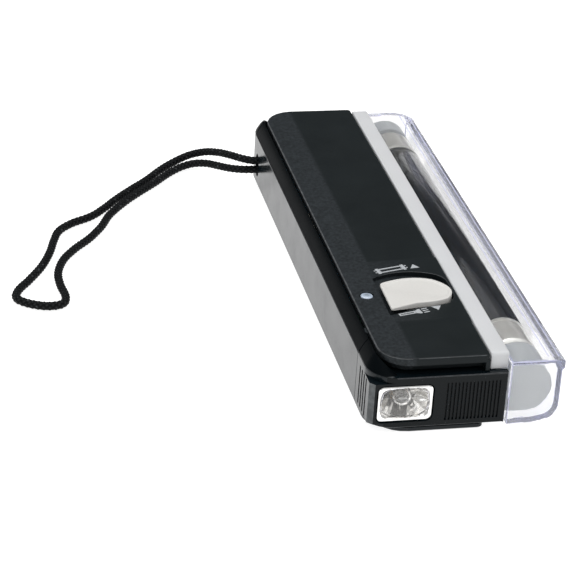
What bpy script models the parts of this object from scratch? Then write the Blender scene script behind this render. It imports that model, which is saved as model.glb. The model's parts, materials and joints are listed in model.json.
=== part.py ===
"""Hand-held counterfeit bill detector: a 4 W blacklight tube beside a slim black case,
with a torch in the near end, a three-position slide switch and a wrist strap.

The design is laid out in millimetres from the left, near, bottom corner of the case
(x to the right, y from the torch end to the strap end, z up from the table) and is
moved to metres about the middle of the case when each mesh is made.
"""
import math

import bmesh
import bpy
from mathutils import Vector

MM = 0.001
GAP = 0.3                      # clearance between neighbouring pieces

# ---- overall case ----
WIDTH = 50.5                   # left wall to the edge of the clear lamp cover
LENGTH = 160.0                 # torch face to far end
CASE_RIGHT = 31.4              # right wall of the battery case
WALL = 1.4
CORNER_RADIUS = 7.0            # plan radius of the case's left corners

# ---- levels ----
DOOR_TOP = 1.35
CASE_BOTTOM = DOOR_TOP + GAP
LEDGE_TOP = 16.1
RIM_BOTTOM = 18.8              # under the edge of the top cover
COVER_INSIDE = 19.3            # under the plate of the top cover
COVER_TOP = 20.9
PLATEAU_TOP = 21.5             # raised field round the switch

# ---- bays inside the case, along y ----
HEAD_LENGTH = 14.15
CASE_NEAR = HEAD_LENGTH + GAP
ELECTRONICS_BAY = (15.9, 37.9)
BATTERY_BAY = (38.7, 143.6)
STRAP_BAY = (144.6, 158.5)

# ---- shoulder along the left edge ----
SHOULDER_WIDTH = 2.4
SHOULDER_TOP = 20.2
RAIL_ENDS = (13.85, 152.15)

# ---- top cover ----
COVER_X = (3.2, 31.0)
COVER_Y = (1.0, 159.0)
CREASE_X = 11.5                # left of this line the cover slopes down
CREASE_SLOPE = 0.055
PLATEAU_Y = (19.0, 56.0)

# ---- lamp ----
LAMP_X, LAMP_Z = 41.05, 10.05
LAMP_RADIUS = 7.4
LAMP_ENDS = (12.0, 148.0)
LAMP_CAP_LENGTH = 13.0
PIN_SPACING = 4.75
PIN_RADIUS = 1.15
PIN_LENGTH = 6.7
STRIP_X = (31.3, 36.2)
STRIP_TOP = 20.8

# ---- clear cover over the lamp ----
CLEAR_LEFT = 36.5
CLEAR_WALL = 1.15

# ---- torch ----
TORCH_X = (2.25, 16.55)
TORCH_Z = (3.55, 13.65)
BOWL_CENTRE = (9.4, 8.7)
BULB_RADIUS = 2.35

# ---- switch ----
SWITCH_TRAVEL = 4.0            # torch end stop to tube end stop
STEM_X = 19.0
STEM_Y = 30.0

# ---- cells ----
CELL_RADIUS = 7.0
CELL_LENGTH = 50.2
CELL_Z = CASE_BOTTOM + GAP + CELL_RADIUS
CELL_X = (8.7, 23.0)
CELL_Y = (42.0, 92.5)

SCREW_PLACES = ((4.4, 19.0), (27.2, 19.0), (7.4, 154.6), (27.2, 155.2))

# ---- wrist strap ----
CORD_RADIUS = 1.25
CORD_POINT_STEP = 5.2
# The strap's centre line: out of the upper half of the slot, round the loop, back in below.
STRAP_ROUTE = (
    (1.75, 148.5, 9.1), (-1.5, 148.7, 9.1), (-4.4, 150.9, 8.9), (-7.2, 155.2, 8.2),
    (-9.9, 160.3, 6.9), (-13.2, 164.9, 5.2), (-17.6, 166.9, 3.5), (-22.4, 165.5, 2.2),
    (-27.8, 161.0, 1.5), (-33.7, 153.6, 1.3), (-39.2, 147.4, 1.3), (-44.7, 140.8, 1.3),
    (-49.4, 134.4, 1.3), (-53.9, 129.4, 1.3), (-60.0, 125.3, 1.3), (-64.2, 120.6, 1.3),
    (-66.3, 114.6, 1.3), (-68.3, 107.0, 1.3), (-71.5, 98.4, 1.3), (-75.9, 90.2, 1.3),
    (-79.4, 84.4, 1.3), (-80.3, 79.8, 1.3), (-77.3, 76.4, 1.3), (-72.5, 74.4, 1.3),
    (-68.3, 75.2, 1.3), (-66.8, 79.2, 1.3), (-67.5, 86.5, 1.3), (-67.3, 94.0, 1.3),
    (-65.0, 101.8, 1.3), (-60.9, 108.6, 1.3), (-55.9, 115.0, 1.3), (-51.5, 122.4, 1.3),
    (-48.0, 130.2, 1.3), (-42.4, 138.6, 1.3), (-36.9, 145.3, 1.3), (-31.3, 151.6, 1.3),
    (-25.9, 158.2, 1.3), (-21.3, 162.2, 1.5), (-17.1, 163.4, 2.0), (-13.5, 161.2, 2.9),
    (-10.9, 157.0, 4.0), (-8.1, 152.7, 5.0), (-4.8, 149.6, 5.8), (-1.5, 148.6, 6.1),
    (1.75, 148.5, 6.1),
)


# ------------------------------------------------------------------ outlines

def arc(centre, radius, start, end, steps):
    """Points on a circular arc, angles in degrees."""
    points = []
    for i in range(steps + 1):
        a = math.radians(start + (end - start) * i / steps)
        points.append((centre[0] + radius * math.cos(a), centre[1] + radius * math.sin(a)))
    return points


def arc_through(first, middle, last, steps):
    """Points on the circle through three points, from first to last by way of middle."""
    ax, ay = first
    bx, by = middle
    cx, cy = last
    d = 2 * (ax * (by - cy) + bx * (cy - ay) + cx * (ay - by))
    a2, b2, c2 = ax * ax + ay * ay, bx * bx + by * by, cx * cx + cy * cy
    ux = (a2 * (by - cy) + b2 * (cy - ay) + c2 * (ay - by)) / d
    uy = (a2 * (cx - bx) + b2 * (ax - cx) + c2 * (bx - ax)) / d
    radius = math.hypot(ax - ux, ay - uy)
    start = math.degrees(math.atan2(ay - uy, ax - ux))
    mid = math.degrees(math.atan2(by - uy, bx - ux))
    end = math.degrees(math.atan2(cy - uy, cx - ux))
    mid = start + (mid - start) % 360
    end = start + (end - start) % 360
    if mid > end:
        end -= 360
    return arc((ux, uy), radius, start, end, steps)


def rounded_plan(x, y, radii, inset=0.0, steps=6):
    """Rectangle in plan with corner radii (near left, near right, far right, far left)."""
    x0, x1 = x[0] + inset, x[1] - inset
    y0, y1 = y[0] + inset, y[1] - inset
    corners = ((x0, y0, 180, 1, 1), (x1, y0, 270, -1, 1), (x1, y1, 0, -1, -1), (x0, y1, 90, 1, -1))
    points = []
    for (cx, cy, start, sx, sy), radius in zip(corners, radii):
        r = max(radius - inset, 0.0)
        if radius <= 0:
            points.append((cx, cy))
        else:
            points += arc((cx + sx * r, cy + sy * r), r, start, start + 90, steps)
    return points


def ellipse(centre, a, b, steps):
    return [(centre[0] + a * math.cos(2 * math.pi * i / steps),
             centre[1] + b * math.sin(2 * math.pi * i / steps)) for i in range(steps)]


# ------------------------------------------------------------------ meshes

def on_axis(axis, a, b, along):
    """A point of an outline (a, b) that lies at a distance along the given axis."""
    if axis == "Z":
        return Vector((a, b, along))
    if axis == "Y":
        return Vector((a, along, b))
    return Vector((along, a, b))


def skin(bm, rings, closed=False):
    """Join rings of points by quads; cap the first and last unless the skin is closed."""
    loops = [[bm.verts.new(p) for p in ring] for ring in rings]
    count = len(loops[0])
    pairs = list(zip(loops, loops[1:]))
    if closed:
        pairs.append((loops[-1], loops[0]))
    for low, high in pairs:
        for i in range(count):
            j = (i + 1) % count
            bm.faces.new((low[i], low[j], high[j], high[i]))
    if not closed:
        bm.faces.new(loops[0])
        bm.faces.new(loops[-1])


def add_prism(bm, outline, axis, low, high):
    skin(bm, [[on_axis(axis, a, b, d) for a, b in outline] for d in (low, high)])


def add_box(bm, x, y, z):
    add_prism(bm, [(x[0], y[0]), (x[1], y[0]), (x[1], y[1]), (x[0], y[1])], "Z", z[0], z[1])


def add_loft(bm, levels, axis="Z"):
    """Rings of equal point count, each an outline with its place along the axis."""
    skin(bm, [[on_axis(axis, a, b, d) for a, b in outline] for outline, d in levels])


def add_turned(bm, axis, centre, profile, segments):
    """A turned solid from (radius, place) pairs; a zero radius end becomes a point."""
    poles, rings = {}, []
    for index, (radius, along) in enumerate(profile):
        if radius == 0:
            poles[index] = bm.verts.new(on_axis(axis, centre[0], centre[1], along))
            rings.append(None)
        else:
            rings.append([bm.verts.new(on_axis(axis, a, b, along))
                          for a, b in ellipse(centre, radius, radius, segments)])
    for index in range(len(profile) - 1):
        low, high = rings[index], rings[index + 1]
        for i in range(segments):
            j = (i + 1) % segments
            if low is None:
                bm.faces.new((poles[index], high[i], high[j]))
            elif high is None:
                bm.faces.new((low[i], low[j], poles[index + 1]))
            else:
                bm.faces.new((low[i], low[j], high[j], high[i]))
    for ring in (rings[0], rings[-1]):
        if ring is not None:
            bm.faces.new(ring)


def add_ring(bm, axis, centre, outer, inner, low, high, segments):
    """A plain tube, open at both ends."""
    section = ((outer, low), (outer, high), (inner, high), (inner, low))
    skin(bm, [[on_axis(axis, a, b, d) for a, b in ellipse(centre, r, r, segments)]
              for r, d in section], closed=True)


def obj_from(name, bm, origin):
    """Turn a mesh laid out in case millimetres into an object placed at its origin."""
    origin = Vector(origin)
    bmesh.ops.recalc_face_normals(bm, faces=bm.faces)
    for vertex in bm.verts:
        vertex.co = (vertex.co - origin) * MM
    mesh = bpy.data.meshes.new(name)
    bm.to_mesh(mesh)
    bm.free()
    mesh.shade_smooth()
    mesh.set_sharp_from_angle(angle=math.radians(32))
    obj = bpy.data.objects.new(name, mesh)
    obj.location = (origin - Vector((WIDTH / 2, LENGTH / 2, 0))) * MM
    bpy.context.collection.objects.link(obj)
    return obj


def solid(name, build, material, origin=(0, 0, 0)):
    bm = bmesh.new()
    build(bm)
    obj = obj_from(name, bm, origin)
    obj.data.materials.append(material)
    return obj


def tool(name, build):
    """A hidden shape that cuts or joins another one."""
    bm = bmesh.new()
    build(bm)
    obj = obj_from(name, bm, (0, 0, 0))
    obj.hide_render = True
    obj.display_type = "WIRE"
    return obj


def combine(obj, operation, other):
    modifier = obj.modifiers.new(operation.lower() + "_" + other.name, "BOOLEAN")
    modifier.operation = operation
    modifier.object = other


def cut(obj, name, build):
    combine(obj, "DIFFERENCE", tool(name, build))


def fuse(obj, name, build):
    combine(obj, "UNION", tool(name, build))


# ------------------------------------------------------------------ materials

def finish(name, colour, roughness, metallic=0.0, transmission=0.0):
    material = bpy.data.materials.new(name)
    material.use_nodes = True
    shader = material.node_tree.nodes["Principled BSDF"]
    shader.inputs["Base Color"].default_value = (*colour, 1.0)
    shader.inputs["Roughness"].default_value = roughness
    shader.inputs["Metallic"].default_value = metallic
    shader.inputs["Transmission Weight"].default_value = transmission
    return material


def make_finishes():
    return {
        "black": finish("black_abs", (0.018, 0.020, 0.022), 0.42),
        "grey": finish("light_grey_abs", (0.62, 0.63, 0.64), 0.45),
        "cream": finish("cream_abs", (0.72, 0.70, 0.66), 0.40),
        "clear": finish("clear_acrylic", (0.90, 0.92, 1.0), 0.03, transmission=1.0),
        "glass": finish("blacklight_glass", (0.010, 0.012, 0.020), 0.08),
        "metal": finish("nickel_plate", (0.70, 0.69, 0.66), 0.28, 1.0),
        "chrome": finish("vacuum_chrome", (0.90, 0.90, 0.88), 0.06, 1.0),
        "brass": finish("brass", (0.72, 0.52, 0.25), 0.30, 1.0),
        "steel": finish("zinc_steel", (0.58, 0.58, 0.57), 0.35, 1.0),
        "board": finish("green_board", (0.03, 0.16, 0.07), 0.45),
        "ferrite": finish("ferrite", (0.06, 0.055, 0.05), 0.70),
        "copper": finish("copper_winding", (0.62, 0.30, 0.14), 0.35, 1.0),
        "sleeve": finish("capacitor_sleeve", (0.03, 0.05, 0.18), 0.40),
        "jacket": finish("cell_jacket", (0.05, 0.17, 0.26), 0.35),
        "led": finish("led_epoxy", (0.75, 0.80, 0.86), 0.15, transmission=0.4),
        "braid": finish("black_braid", (0.012, 0.013, 0.015), 0.85),
    }


# ------------------------------------------------------------------ case

def shoulder_section():
    """Rising outer face of the shoulder: (distance inward, height) pairs."""
    sweep = math.radians(68)
    steps = 5
    rise = SHOULDER_TOP - LEDGE_TOP - GAP
    points = []
    for i in range(steps + 1):
        t = i / steps
        points.append((SHOULDER_WIDTH * t,
                       LEDGE_TOP + GAP + rise * math.sin(sweep * t) / math.sin(sweep)))
    return points


def add_corner_shoulder(bm, start_y, corner_y, side, foot):
    """The shoulder along the left wall, fading out round a rounded plan corner.

    side is -1 where the corner is the near one and +1 where it is the far one; foot is
    the height down to which the shoulder is rooted in the piece it belongs to.
    """
    centre_y = corner_y - side * CORNER_RADIUS
    fade_steps = 7
    stations = [((0.0, start_y), (1.0, 0.0), 1.0)]
    for i in range(fade_steps + 1):
        angle = math.pi / 2 * i / fade_steps
        inward = (math.cos(angle), -side * math.sin(angle))
        edge = (CORNER_RADIUS * (1 - math.cos(angle)),
                centre_y + side * CORNER_RADIUS * math.sin(angle))
        stations.append((edge, inward, max(math.cos(angle), 0.04)))
    rings = []
    for (ex, ey), (nx, ny), height in stations:
        ring = [(ex + nx * 0.05, ey + ny * 0.05, foot)]
        for inward, z in shoulder_section():
            w = max(inward, 0.05)
            ring.append((ex + nx * w, ey + ny * w, LEDGE_TOP + (z - LEDGE_TOP) * height))
        ring.append((ex + nx * SHOULDER_WIDTH, ey + ny * SHOULDER_WIDTH, foot))
        rings.append([Vector(p) for p in ring])
    skin(bm, rings)


def case_plan(inset=0.0):
    return rounded_plan((0, CASE_RIGHT), (CASE_NEAR, LENGTH), (0, 0, 0.8, CORNER_RADIUS), inset)


def add_bay_cutters(bm, x, z, inset_far):
    """The three bays of the case as through cuts over one height range."""
    add_box(bm, x, ELECTRONICS_BAY, z)
    add_box(bm, x, BATTERY_BAY, z)
    far = (STRAP_BAY[0], STRAP_BAY[1] - inset_far)
    radius = max(CORNER_RADIUS - x[0], 1.0)
    add_prism(bm, rounded_plan(x, far, (0, 0, 0, radius)), "Z", z[0], z[1])


def make_body_shell(mats):
    shell = solid("body_shell",
                  lambda bm: add_prism(bm, case_plan(), "Z", CASE_BOTTOM, LEDGE_TOP), mats["black"])
    inner_x = (WALL, CASE_RIGHT - 1.1)
    cut(shell, "bays_bottom", lambda bm: add_bay_cutters(bm, (3.8, inner_x[1]), (0.0, 3.2), 2.0))
    cut(shell, "bays_low", lambda bm: add_bay_cutters(bm, inner_x, (2.7, 14.9), 0.0))
    cut(shell, "bays_high", lambda bm: add_bay_cutters(bm, (3.6, inner_x[1]), (14.5, 17.0), 2.0))
    combine(shell, "UNION", make_deck_tool())
    fuse(shell, "far_end_plate", lambda bm: add_box(
        bm, (CASE_RIGHT - 1.0, 36.1), (158.3, LENGTH - 0.02), (CASE_BOTTOM + 0.02, LEDGE_TOP - 0.02)))
    fuse(shell, "far_shoulder",
         lambda bm: add_corner_shoulder(bm, RAIL_ENDS[1] + GAP, LENGTH, 1, 12.0))
    for index, (x, y) in enumerate(SCREW_PLACES):
        fuse(shell, f"boss_{index}", lambda bm, x=x, y=y: add_turned(
            bm, "Z", (x, y), ((2.5, CASE_BOTTOM), (2.5, 16.0)), 16))
        web = (x + 1.7, inner_x[1] + 0.4) if x > CASE_RIGHT / 2 else (WALL - 0.4, x - 1.7)
        fuse(shell, f"boss_web_{index}", lambda bm, w=web, y=y: add_box(
            bm, w, (y - 0.6, y + 0.6), (CASE_BOTTOM + 1.0, 14.0)))

    def add_screw_holes(bm):
        for x, y in SCREW_PLACES:
            add_turned(bm, "Z", (x, y), ((2.1, 0.5), (2.1, 3.6), (1.35, 3.6), (1.35, 18.0)), 16)
    cut(shell, "screw_holes", add_screw_holes)
    slot = arc((148.4, 9.2), 1.95, 0, 180, 8) + arc((148.4, 6.0), 1.95, 180, 360, 8)
    cut(shell, "strap_slot", lambda bm: add_prism(bm, slot, "X", -2.0, 3.0))
    cut(shell, "torch_wire_hole",
        lambda bm: add_turned(bm, "Y", (9.4, 8.7), ((1.4, 13.0), (1.4, 17.0)), 12))
    return shell


def make_deck_tool():
    """The deck over the cells, standing on the two cross walls of the battery bay."""
    x, y = (6.0, 29.5), (ELECTRONICS_BAY[1] + 0.1, STRAP_BAY[0] - 0.1)
    deck = tool("deck", lambda bm: add_box(bm, x, y, (16.3, 17.1)))
    walls = ((ELECTRONICS_BAY[1], BATTERY_BAY[0]), (BATTERY_BAY[1], STRAP_BAY[0]))
    for index, wall in enumerate(walls):
        fuse(deck, f"deck_post_{index}", lambda bm, w=wall: add_box(
            bm, (x[0] + 0.5, x[1] - 0.5), (w[0] + 0.15, w[1] - 0.15), (12.0, 16.8)))
    return deck


def make_side_rail(mats):
    section = shoulder_section() + [(SHOULDER_WIDTH, LEDGE_TOP + GAP)]
    return solid("side_rail",
                 lambda bm: add_prism(bm, section, "Y", RAIL_ENDS[0], RAIL_ENDS[1]), mats["black"])


def make_head_cap(mats):
    """Pull-off cap that carries the torch, ribbed on its side and its face for the fingers."""
    right = 35.9
    plan = rounded_plan((0, right), (0, HEAD_LENGTH), (CORNER_RADIUS, 0.5, 0, 0), steps=8)
    chamfer = 1.33
    square = [(0, chamfer), (chamfer, 0), (18, 0), (18, HEAD_LENGTH), (0, HEAD_LENGTH)]
    head = solid("head_cap", lambda bm: add_prism(bm, plan, "Z", CASE_BOTTOM, LEDGE_TOP),
                 mats["black"], origin=(18, HEAD_LENGTH, 8.7))
    fuse(head, "torch_corner", lambda bm: add_prism(bm, square, "Z", 3.08, 14.55))
    fuse(head, "near_shoulder",
         lambda bm: add_corner_shoulder(bm, RAIL_ENDS[0] - GAP, 0.0, -1, 15.0))
    cut(head, "head_hollow", lambda bm: add_box(bm, (1.5, 30.1), (1.6, 20.0), (3.2, 14.4)))
    cut(head, "lamp_corner", lambda bm: add_box(bm, (31.6, 40.0), (1.9, 20.0), (0.0, 18.0)))
    window = rounded_plan((TORCH_X[0] - GAP, TORCH_X[1] + GAP),
                          (TORCH_Z[0] - GAP, TORCH_Z[1] + GAP), (1.8,) * 4, steps=4)
    cut(head, "torch_window", lambda bm: add_prism(bm, window, "Y", -2.0, 3.0))

    def add_face_grooves(bm):
        count, first, last, groove = 15, 20.15, 33.75, 0.5
        for i in range(count):
            x = first + (last - first) * i / (count - 1)
            add_box(bm, (x - groove / 2, x + groove / 2), (-1.0, 0.5), (3.2, 14.0))

    def add_side_grooves(bm):
        groove, pitch, first = 0.95, 2.15, 4.3
        for i in range(4):
            y = first + pitch * i
            add_box(bm, (-1.0, 0.55), (y - groove / 2, y + groove / 2), (3.3, 14.1))
    cut(head, "face_grooves", add_face_grooves)
    cut(head, "side_grooves", add_side_grooves)
    return head


def make_top_cover(mats):
    radii = (8.0, 1.2, 1.2, 8.0)
    edge = ((RIM_BOTTOM, 0.0), (20.35, 0.0), (20.72, 0.14), (COVER_TOP, 0.55))

    def add_plate(bm):
        add_loft(bm, [(rounded_plan(COVER_X, COVER_Y, radii, inset), z) for z, inset in edge])
        geometry = bm.verts[:] + bm.edges[:] + bm.faces[:]
        bmesh.ops.bisect_plane(bm, geom=geometry, plane_co=(CREASE_X, 0, 0), plane_no=(1, 0, 0))
        for vertex in bm.verts:
            if vertex.co.z > RIM_BOTTOM + 0.5 and vertex.co.x < CREASE_X:
                vertex.co.z -= CREASE_SLOPE * (CREASE_X - vertex.co.x)
    cover = solid("top_cover", add_plate, mats["black"])
    def add_plateau(bm):
        x0, x1 = CREASE_X, COVER_X[1] - 0.02
        root, end_slope = COVER_TOP - 1.2, 1.7
        rings = []
        for y, rise in ((PLATEAU_Y[0], 0.0), (PLATEAU_Y[0] + end_slope, 1.0),
                        (PLATEAU_Y[1] - end_slope, 1.0), (PLATEAU_Y[1], 0.0)):
            right = COVER_TOP + (PLATEAU_TOP - COVER_TOP) * rise
            left = COVER_TOP + 0.02 * rise
            shelf = 0.35 * rise
            rings.append([(x0, y, root), (x1, y, root), (x1, y, right - shelf),
                          (x1 - shelf, y, right), (x0, y, left)])
        skin(bm, rings)
    fuse(cover, "plateau", add_plateau)
    skirt_radii = (6.5, 0.6, 0.6, 6.5)
    skirt_x, skirt_y = (COVER_X[0] + 1.5, COVER_X[1]), (COVER_Y[0] + 2.5, COVER_Y[1] - 1.5)
    skirt = tool("skirt", lambda bm: add_prism(
        bm, rounded_plan(skirt_x, skirt_y, skirt_radii), "Z", LEDGE_TOP + GAP, RIM_BOTTOM + 0.3))
    combine(cover, "UNION", skirt)
    fuse(cover, "near_right_post",
         lambda bm: add_box(bm, (29.9, 30.98), (COVER_Y[0] + 0.02, 6.0), (LEDGE_TOP + GAP, 19.5)))
    inner_x, inner_y = (skirt_x[0] + 1.0, skirt_x[1] - 1.1), (skirt_y[0] + 1.1, skirt_y[1] - 1.1)
    cut(cover, "cover_hollow", lambda bm: add_prism(
        bm, rounded_plan(inner_x, inner_y, (5.5, 0, 0, 5.5)), "Z", 10.0, COVER_INSIDE))
    for index, (x, y) in enumerate(SCREW_PLACES):
        fuse(cover, f"cover_boss_{index}", lambda bm, x=x, y=y: add_turned(
            bm, "Z", (x, y), ((2.0, 16.4), (2.0, 19.6)), 16))

    def add_screw_sockets(bm):
        for x, y in SCREW_PLACES:
            add_turned(bm, "Z", (x, y), ((1.35, 16.0), (1.35, 18.9)), 12)
    cut(cover, "screw_sockets", add_screw_sockets)
    fuse(cover, "switch_floor", lambda bm: add_box(bm, (9.6, 30.4), (22.6, 49.0), (19.0, 19.9)))
    cut(cover, "switch_recess", lambda bm: add_prism(bm, recess_plan(), "Z", 20.0, 24.0))
    cut(cover, "stem_slot", lambda bm: add_box(
        bm, (STEM_X - 3.0, STEM_X + 3.0),
        (STEM_Y - 1.8 - 0.6, STEM_Y + 1.8 + SWITCH_TRAVEL + 0.6), (15.0, 21.0)))
    cut(cover, "indicator_hole",
        lambda bm: add_turned(bm, "Z", (7.1, 35.8), ((1.95, 15.0), (1.95, 22.0)), 24))
    return cover


def make_battery_door(mats):
    """Bottom panel: slides toward the strap end to bare the cells."""
    x, y, radii = (2.84, 30.65), (0.3, 159.7), (8.0, 1.5, 1.5, 8.0)
    edge = ((0.0, 0.45), (0.4, 0.0), (DOOR_TOP, 0.0))
    door = solid("battery_door",
                 lambda bm: add_loft(bm, [(rounded_plan(x, y, radii, i), z) for z, i in edge]),
                 mats["black"], origin=(16.75, 80, 0))

    def add_thumb_grooves(bm):
        for i in range(6):
            y0 = 128.0 + 2.2 * i
            add_box(bm, (10.0, 23.5), (y0, y0 + 1.0), (-1.0, 0.45))
    cut(door, "thumb_grooves", add_thumb_grooves)
    return door


# ------------------------------------------------------------------ lamp side

def make_lamp_tray(mats):
    strip = rounded_strip_section()
    tray = solid("lamp_tray", lambda bm: add_prism(bm, strip, "Y", 1.9, 158.0), mats["grey"])
    fuse(tray, "tray_wall", lambda bm: add_box(bm, (31.7, 32.4), (2.2, 157.9), (2.0, 17.5)))
    fuse(tray, "tray_floor",
         lambda bm: add_box(bm, (31.75, 36.2), (2.25, 157.85), (CASE_BOTTOM, 2.45)))
    return tray


def rounded_strip_section():
    left, right = STRIP_X
    return ([(left, 16.4), (right, 16.4)] + arc((right - 0.5, STRIP_TOP - 0.5), 0.5, 0, 90, 3)
            + arc((left + 0.3, STRIP_TOP - 0.3), 0.3, 90, 180, 2))


def make_lamp_reflector(mats):
    """Bent sheet behind the lamp, a part of a circle round the lamp's axis."""
    centre, thickness, radius = (LAMP_X, LAMP_Z), 0.35, 8.0
    start, end = 134, 234
    section = (arc(centre, radius + thickness, start, end, 14)
               + arc(centre, radius, end, start, 14))
    return solid("lamp_reflector",
                 lambda bm: add_prism(bm, section, "Y", 12.3, 147.7), mats["chrome"])


def clear_section(wall):
    """Section of the clear cover: the outside for wall 0, else the inside."""
    if wall == 0:
        return ([(CLEAR_LEFT, 0.85), (43.0, 1.15)]
                + arc_through((45.8, 1.65), (49.0, 3.2), (50.05, 6.5), 6)
                + [(50.05, 15.9), (WIDTH, 16.3), (WIDTH, 18.6), (50.2, 18.9), (CLEAR_LEFT, 18.9)])
    return ([(30.0, 2.0), (37.0, 2.0), (43.0, 2.3)]
            + arc_through((45.5, 2.75), (48.0, 4.1), (48.9, 6.9), 6)
            + [(48.9, 15.9), (48.0, 17.75), (30.0, 17.75)])


def make_lamp_cover(mats):
    """Clear cap over the lamp, open toward the case, with one rounded far corner."""
    radius = 7.0
    outer_plan = rounded_plan((CLEAR_LEFT - 2, WIDTH), (0, LENGTH), (0, 0, radius, 0), steps=8)
    inner_plan = rounded_plan((CLEAR_LEFT - 6, WIDTH), (CLEAR_WALL, LENGTH - CLEAR_WALL),
                              (0, 0, radius, 0), steps=8)
    cover = solid("lamp_cover",
                  lambda bm: add_prism(bm, clear_section(0), "Y", -1.0, LENGTH + 1.0),
                  mats["clear"], origin=(CLEAR_LEFT, 80, 10))
    combine(cover, "INTERSECT",
            tool("clear_plan", lambda bm: add_prism(bm, outer_plan, "Z", -2.0, 24.0)))
    hollow = tool("clear_hollow", lambda bm: add_prism(
        bm, clear_section(CLEAR_WALL), "Y", -1.0, LENGTH + 1.0))
    combine(hollow, "INTERSECT",
            tool("clear_hollow_plan", lambda bm: add_prism(bm, inner_plan, "Z", -2.0, 24.0)))
    combine(cover, "DIFFERENCE", hollow)
    return cover


def make_lamp(mats):
    near, far = LAMP_ENDS
    centre = (LAMP_X, LAMP_Z)
    glass_near, glass_far = near + LAMP_CAP_LENGTH + GAP, far - LAMP_CAP_LENGTH - GAP
    solid("lamp_glass",
          lambda bm: add_ring(bm, "Y", centre, LAMP_RADIUS, LAMP_RADIUS - 0.8,
                              glass_near, glass_far, 32), mats["glass"])
    for name, face, side in (("near", near, 1), ("far", far, -1)):
        profile = ((LAMP_RADIUS - 1.3, face), (LAMP_RADIUS - 0.35, face + side * 0.35),
                   (LAMP_RADIUS, face + side * 1.3), (LAMP_RADIUS, face + side * LAMP_CAP_LENGTH))
        solid(f"lamp_cap_{name}",
              lambda bm, p=profile: add_turned(bm, "Y", centre, p, 32), mats["metal"])
        for index, dz in enumerate((-PIN_SPACING / 2, PIN_SPACING / 2), start=1):
            root, tip = face - side * GAP, face - side * (GAP + PIN_LENGTH)
            pin = ((PIN_RADIUS, root), (PIN_RADIUS, tip + side * 0.5), (0.6, tip))
            solid(f"lamp_pin_{name}_{index}", lambda bm, p=pin, dz=dz: add_turned(
                bm, "Y", (LAMP_X, LAMP_Z + dz), p, 12), mats["brass"])


def make_lamp_holder(name, face, depth, side, mats):
    """Push-in socket block: round toward the clear cover, flat against the tray."""
    centre, radius = (41.2, 10.55), 7.05
    back = face - side * depth
    section = [(33.0, 3.6)] + arc(centre, radius, -80, 138, 18) + [(33.0, 15.6)]
    holder = solid(name, lambda bm: add_prism(bm, section, "Y", min(face, back), max(face, back)),
                   mats["grey"])

    for index, dz in enumerate((-PIN_SPACING / 2, PIN_SPACING / 2)):
        ends = sorted((face + side * 1.0, face - side * 7.0))
        cut(holder, f"{name}_socket_{index}", lambda bm, dz=dz, e=ends: add_turned(
            bm, "Y", (LAMP_X, LAMP_Z + dz), ((PIN_RADIUS + GAP, e[0]), (PIN_RADIUS + GAP, e[1])), 14))
    return holder


# ------------------------------------------------------------------ torch

def make_torch(mats):
    plan = rounded_plan(TORCH_X, TORCH_Z, (1.5,) * 4, steps=4)
    reflector = solid("torch_reflector", lambda bm: add_prism(bm, plan, "Y", 0.05, 6.6),
                      mats["chrome"], origin=(BOWL_CENTRE[0], 0, BOWL_CENTRE[1]))
    bowl = ((6.25, 4.55, -1.0), (6.25, 4.55, 1.3), (5.7, 4.2, 2.4), (4.7, 3.7, 3.8),
            (3.6, 3.2, 5.0), (2.75, 2.75, 5.8), (2.75, 2.75, 8.0))
    cut(reflector, "bowl", lambda bm: add_loft(
        bm, [(ellipse(BOWL_CENTRE, a, b, 16), y) for a, b, y in bowl], "Y"))
    solid("torch_lens", lambda bm: add_loft(
        bm, [(ellipse(BOWL_CENTRE, 5.9, 4.2, 24), y) for y in (0.45, 1.05)], "Y"),
        mats["clear"], origin=(BOWL_CENTRE[0], 0, BOWL_CENTRE[1]))
    tip = [(BULB_RADIUS * math.sin(math.radians(a)), 3.9 - BULB_RADIUS * math.cos(math.radians(a)))
           for a in (0, 22, 45, 68, 90)]
    solid("torch_bulb", lambda bm: add_turned(
        bm, "Y", BOWL_CENTRE, tip + [(BULB_RADIUS, 8.0)], 20), mats["clear"])
    base = ((0.0, 8.3), (3.3, 8.3), (3.3, 9.0), (2.45, 9.0), (2.45, 12.4), (1.0, 13.0), (0.0, 13.0))
    solid("bulb_base", lambda bm: add_turned(bm, "Y", BOWL_CENTRE, base, 20), mats["brass"])
    solid("bulb_socket", lambda bm: add_ring(
        bm, "Y", BOWL_CENTRE, 4.2, 2.75, 9.3, HEAD_LENGTH, 20), mats["cream"])


# ------------------------------------------------------------------ switch and indicator

FAR_EDGE = ((11.2, 39.1), (19.5, 41.6), (26.4, 39.8))
TIP_EDGE = ((26.4, 39.8), (29.5, 34.4), (27.3, 29.3))
NEAR_EDGE = ((27.3, 29.3), (23.5, 27.95), (18.6, 27.5))
NEAR_CORNER = (11.0, 24.6)


def knob_plan():
    points = [NEAR_CORNER]
    points += arc_through(NEAR_EDGE[2], NEAR_EDGE[1], NEAR_EDGE[0], 5)
    points += arc_through(TIP_EDGE[2], TIP_EDGE[1], TIP_EDGE[0], 10)[1:]
    points += arc_through(FAR_EDGE[2], FAR_EDGE[1], FAR_EDGE[0], 7)[1:]
    return points


def recess_plan():
    """Room for the knob and for its travel toward the strap end."""
    room = 0.45
    shift = SWITCH_TRAVEL + 1.2
    near = arc_through((18.6, 27.5 - room), (23.5, 27.95 - room), (27.6, 29.1 - room), 5)
    tip_low = arc_through((27.6, 29.1 - room), (29.4, 31.2), (30.0, 34.4), 4)[1:]
    tip_high = arc_through((30.0, 34.4 + shift), (29.2, 37.9 + shift), (26.7, 40.2 + shift), 4)
    far = arc_through((26.7, 40.2 + shift), (19.5, 42.1 + shift), (10.7, 39.5 + shift), 7)[1:]
    return [(10.6, 24.6 - room * 1.2)] + near + tip_low + tip_high + far


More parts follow.
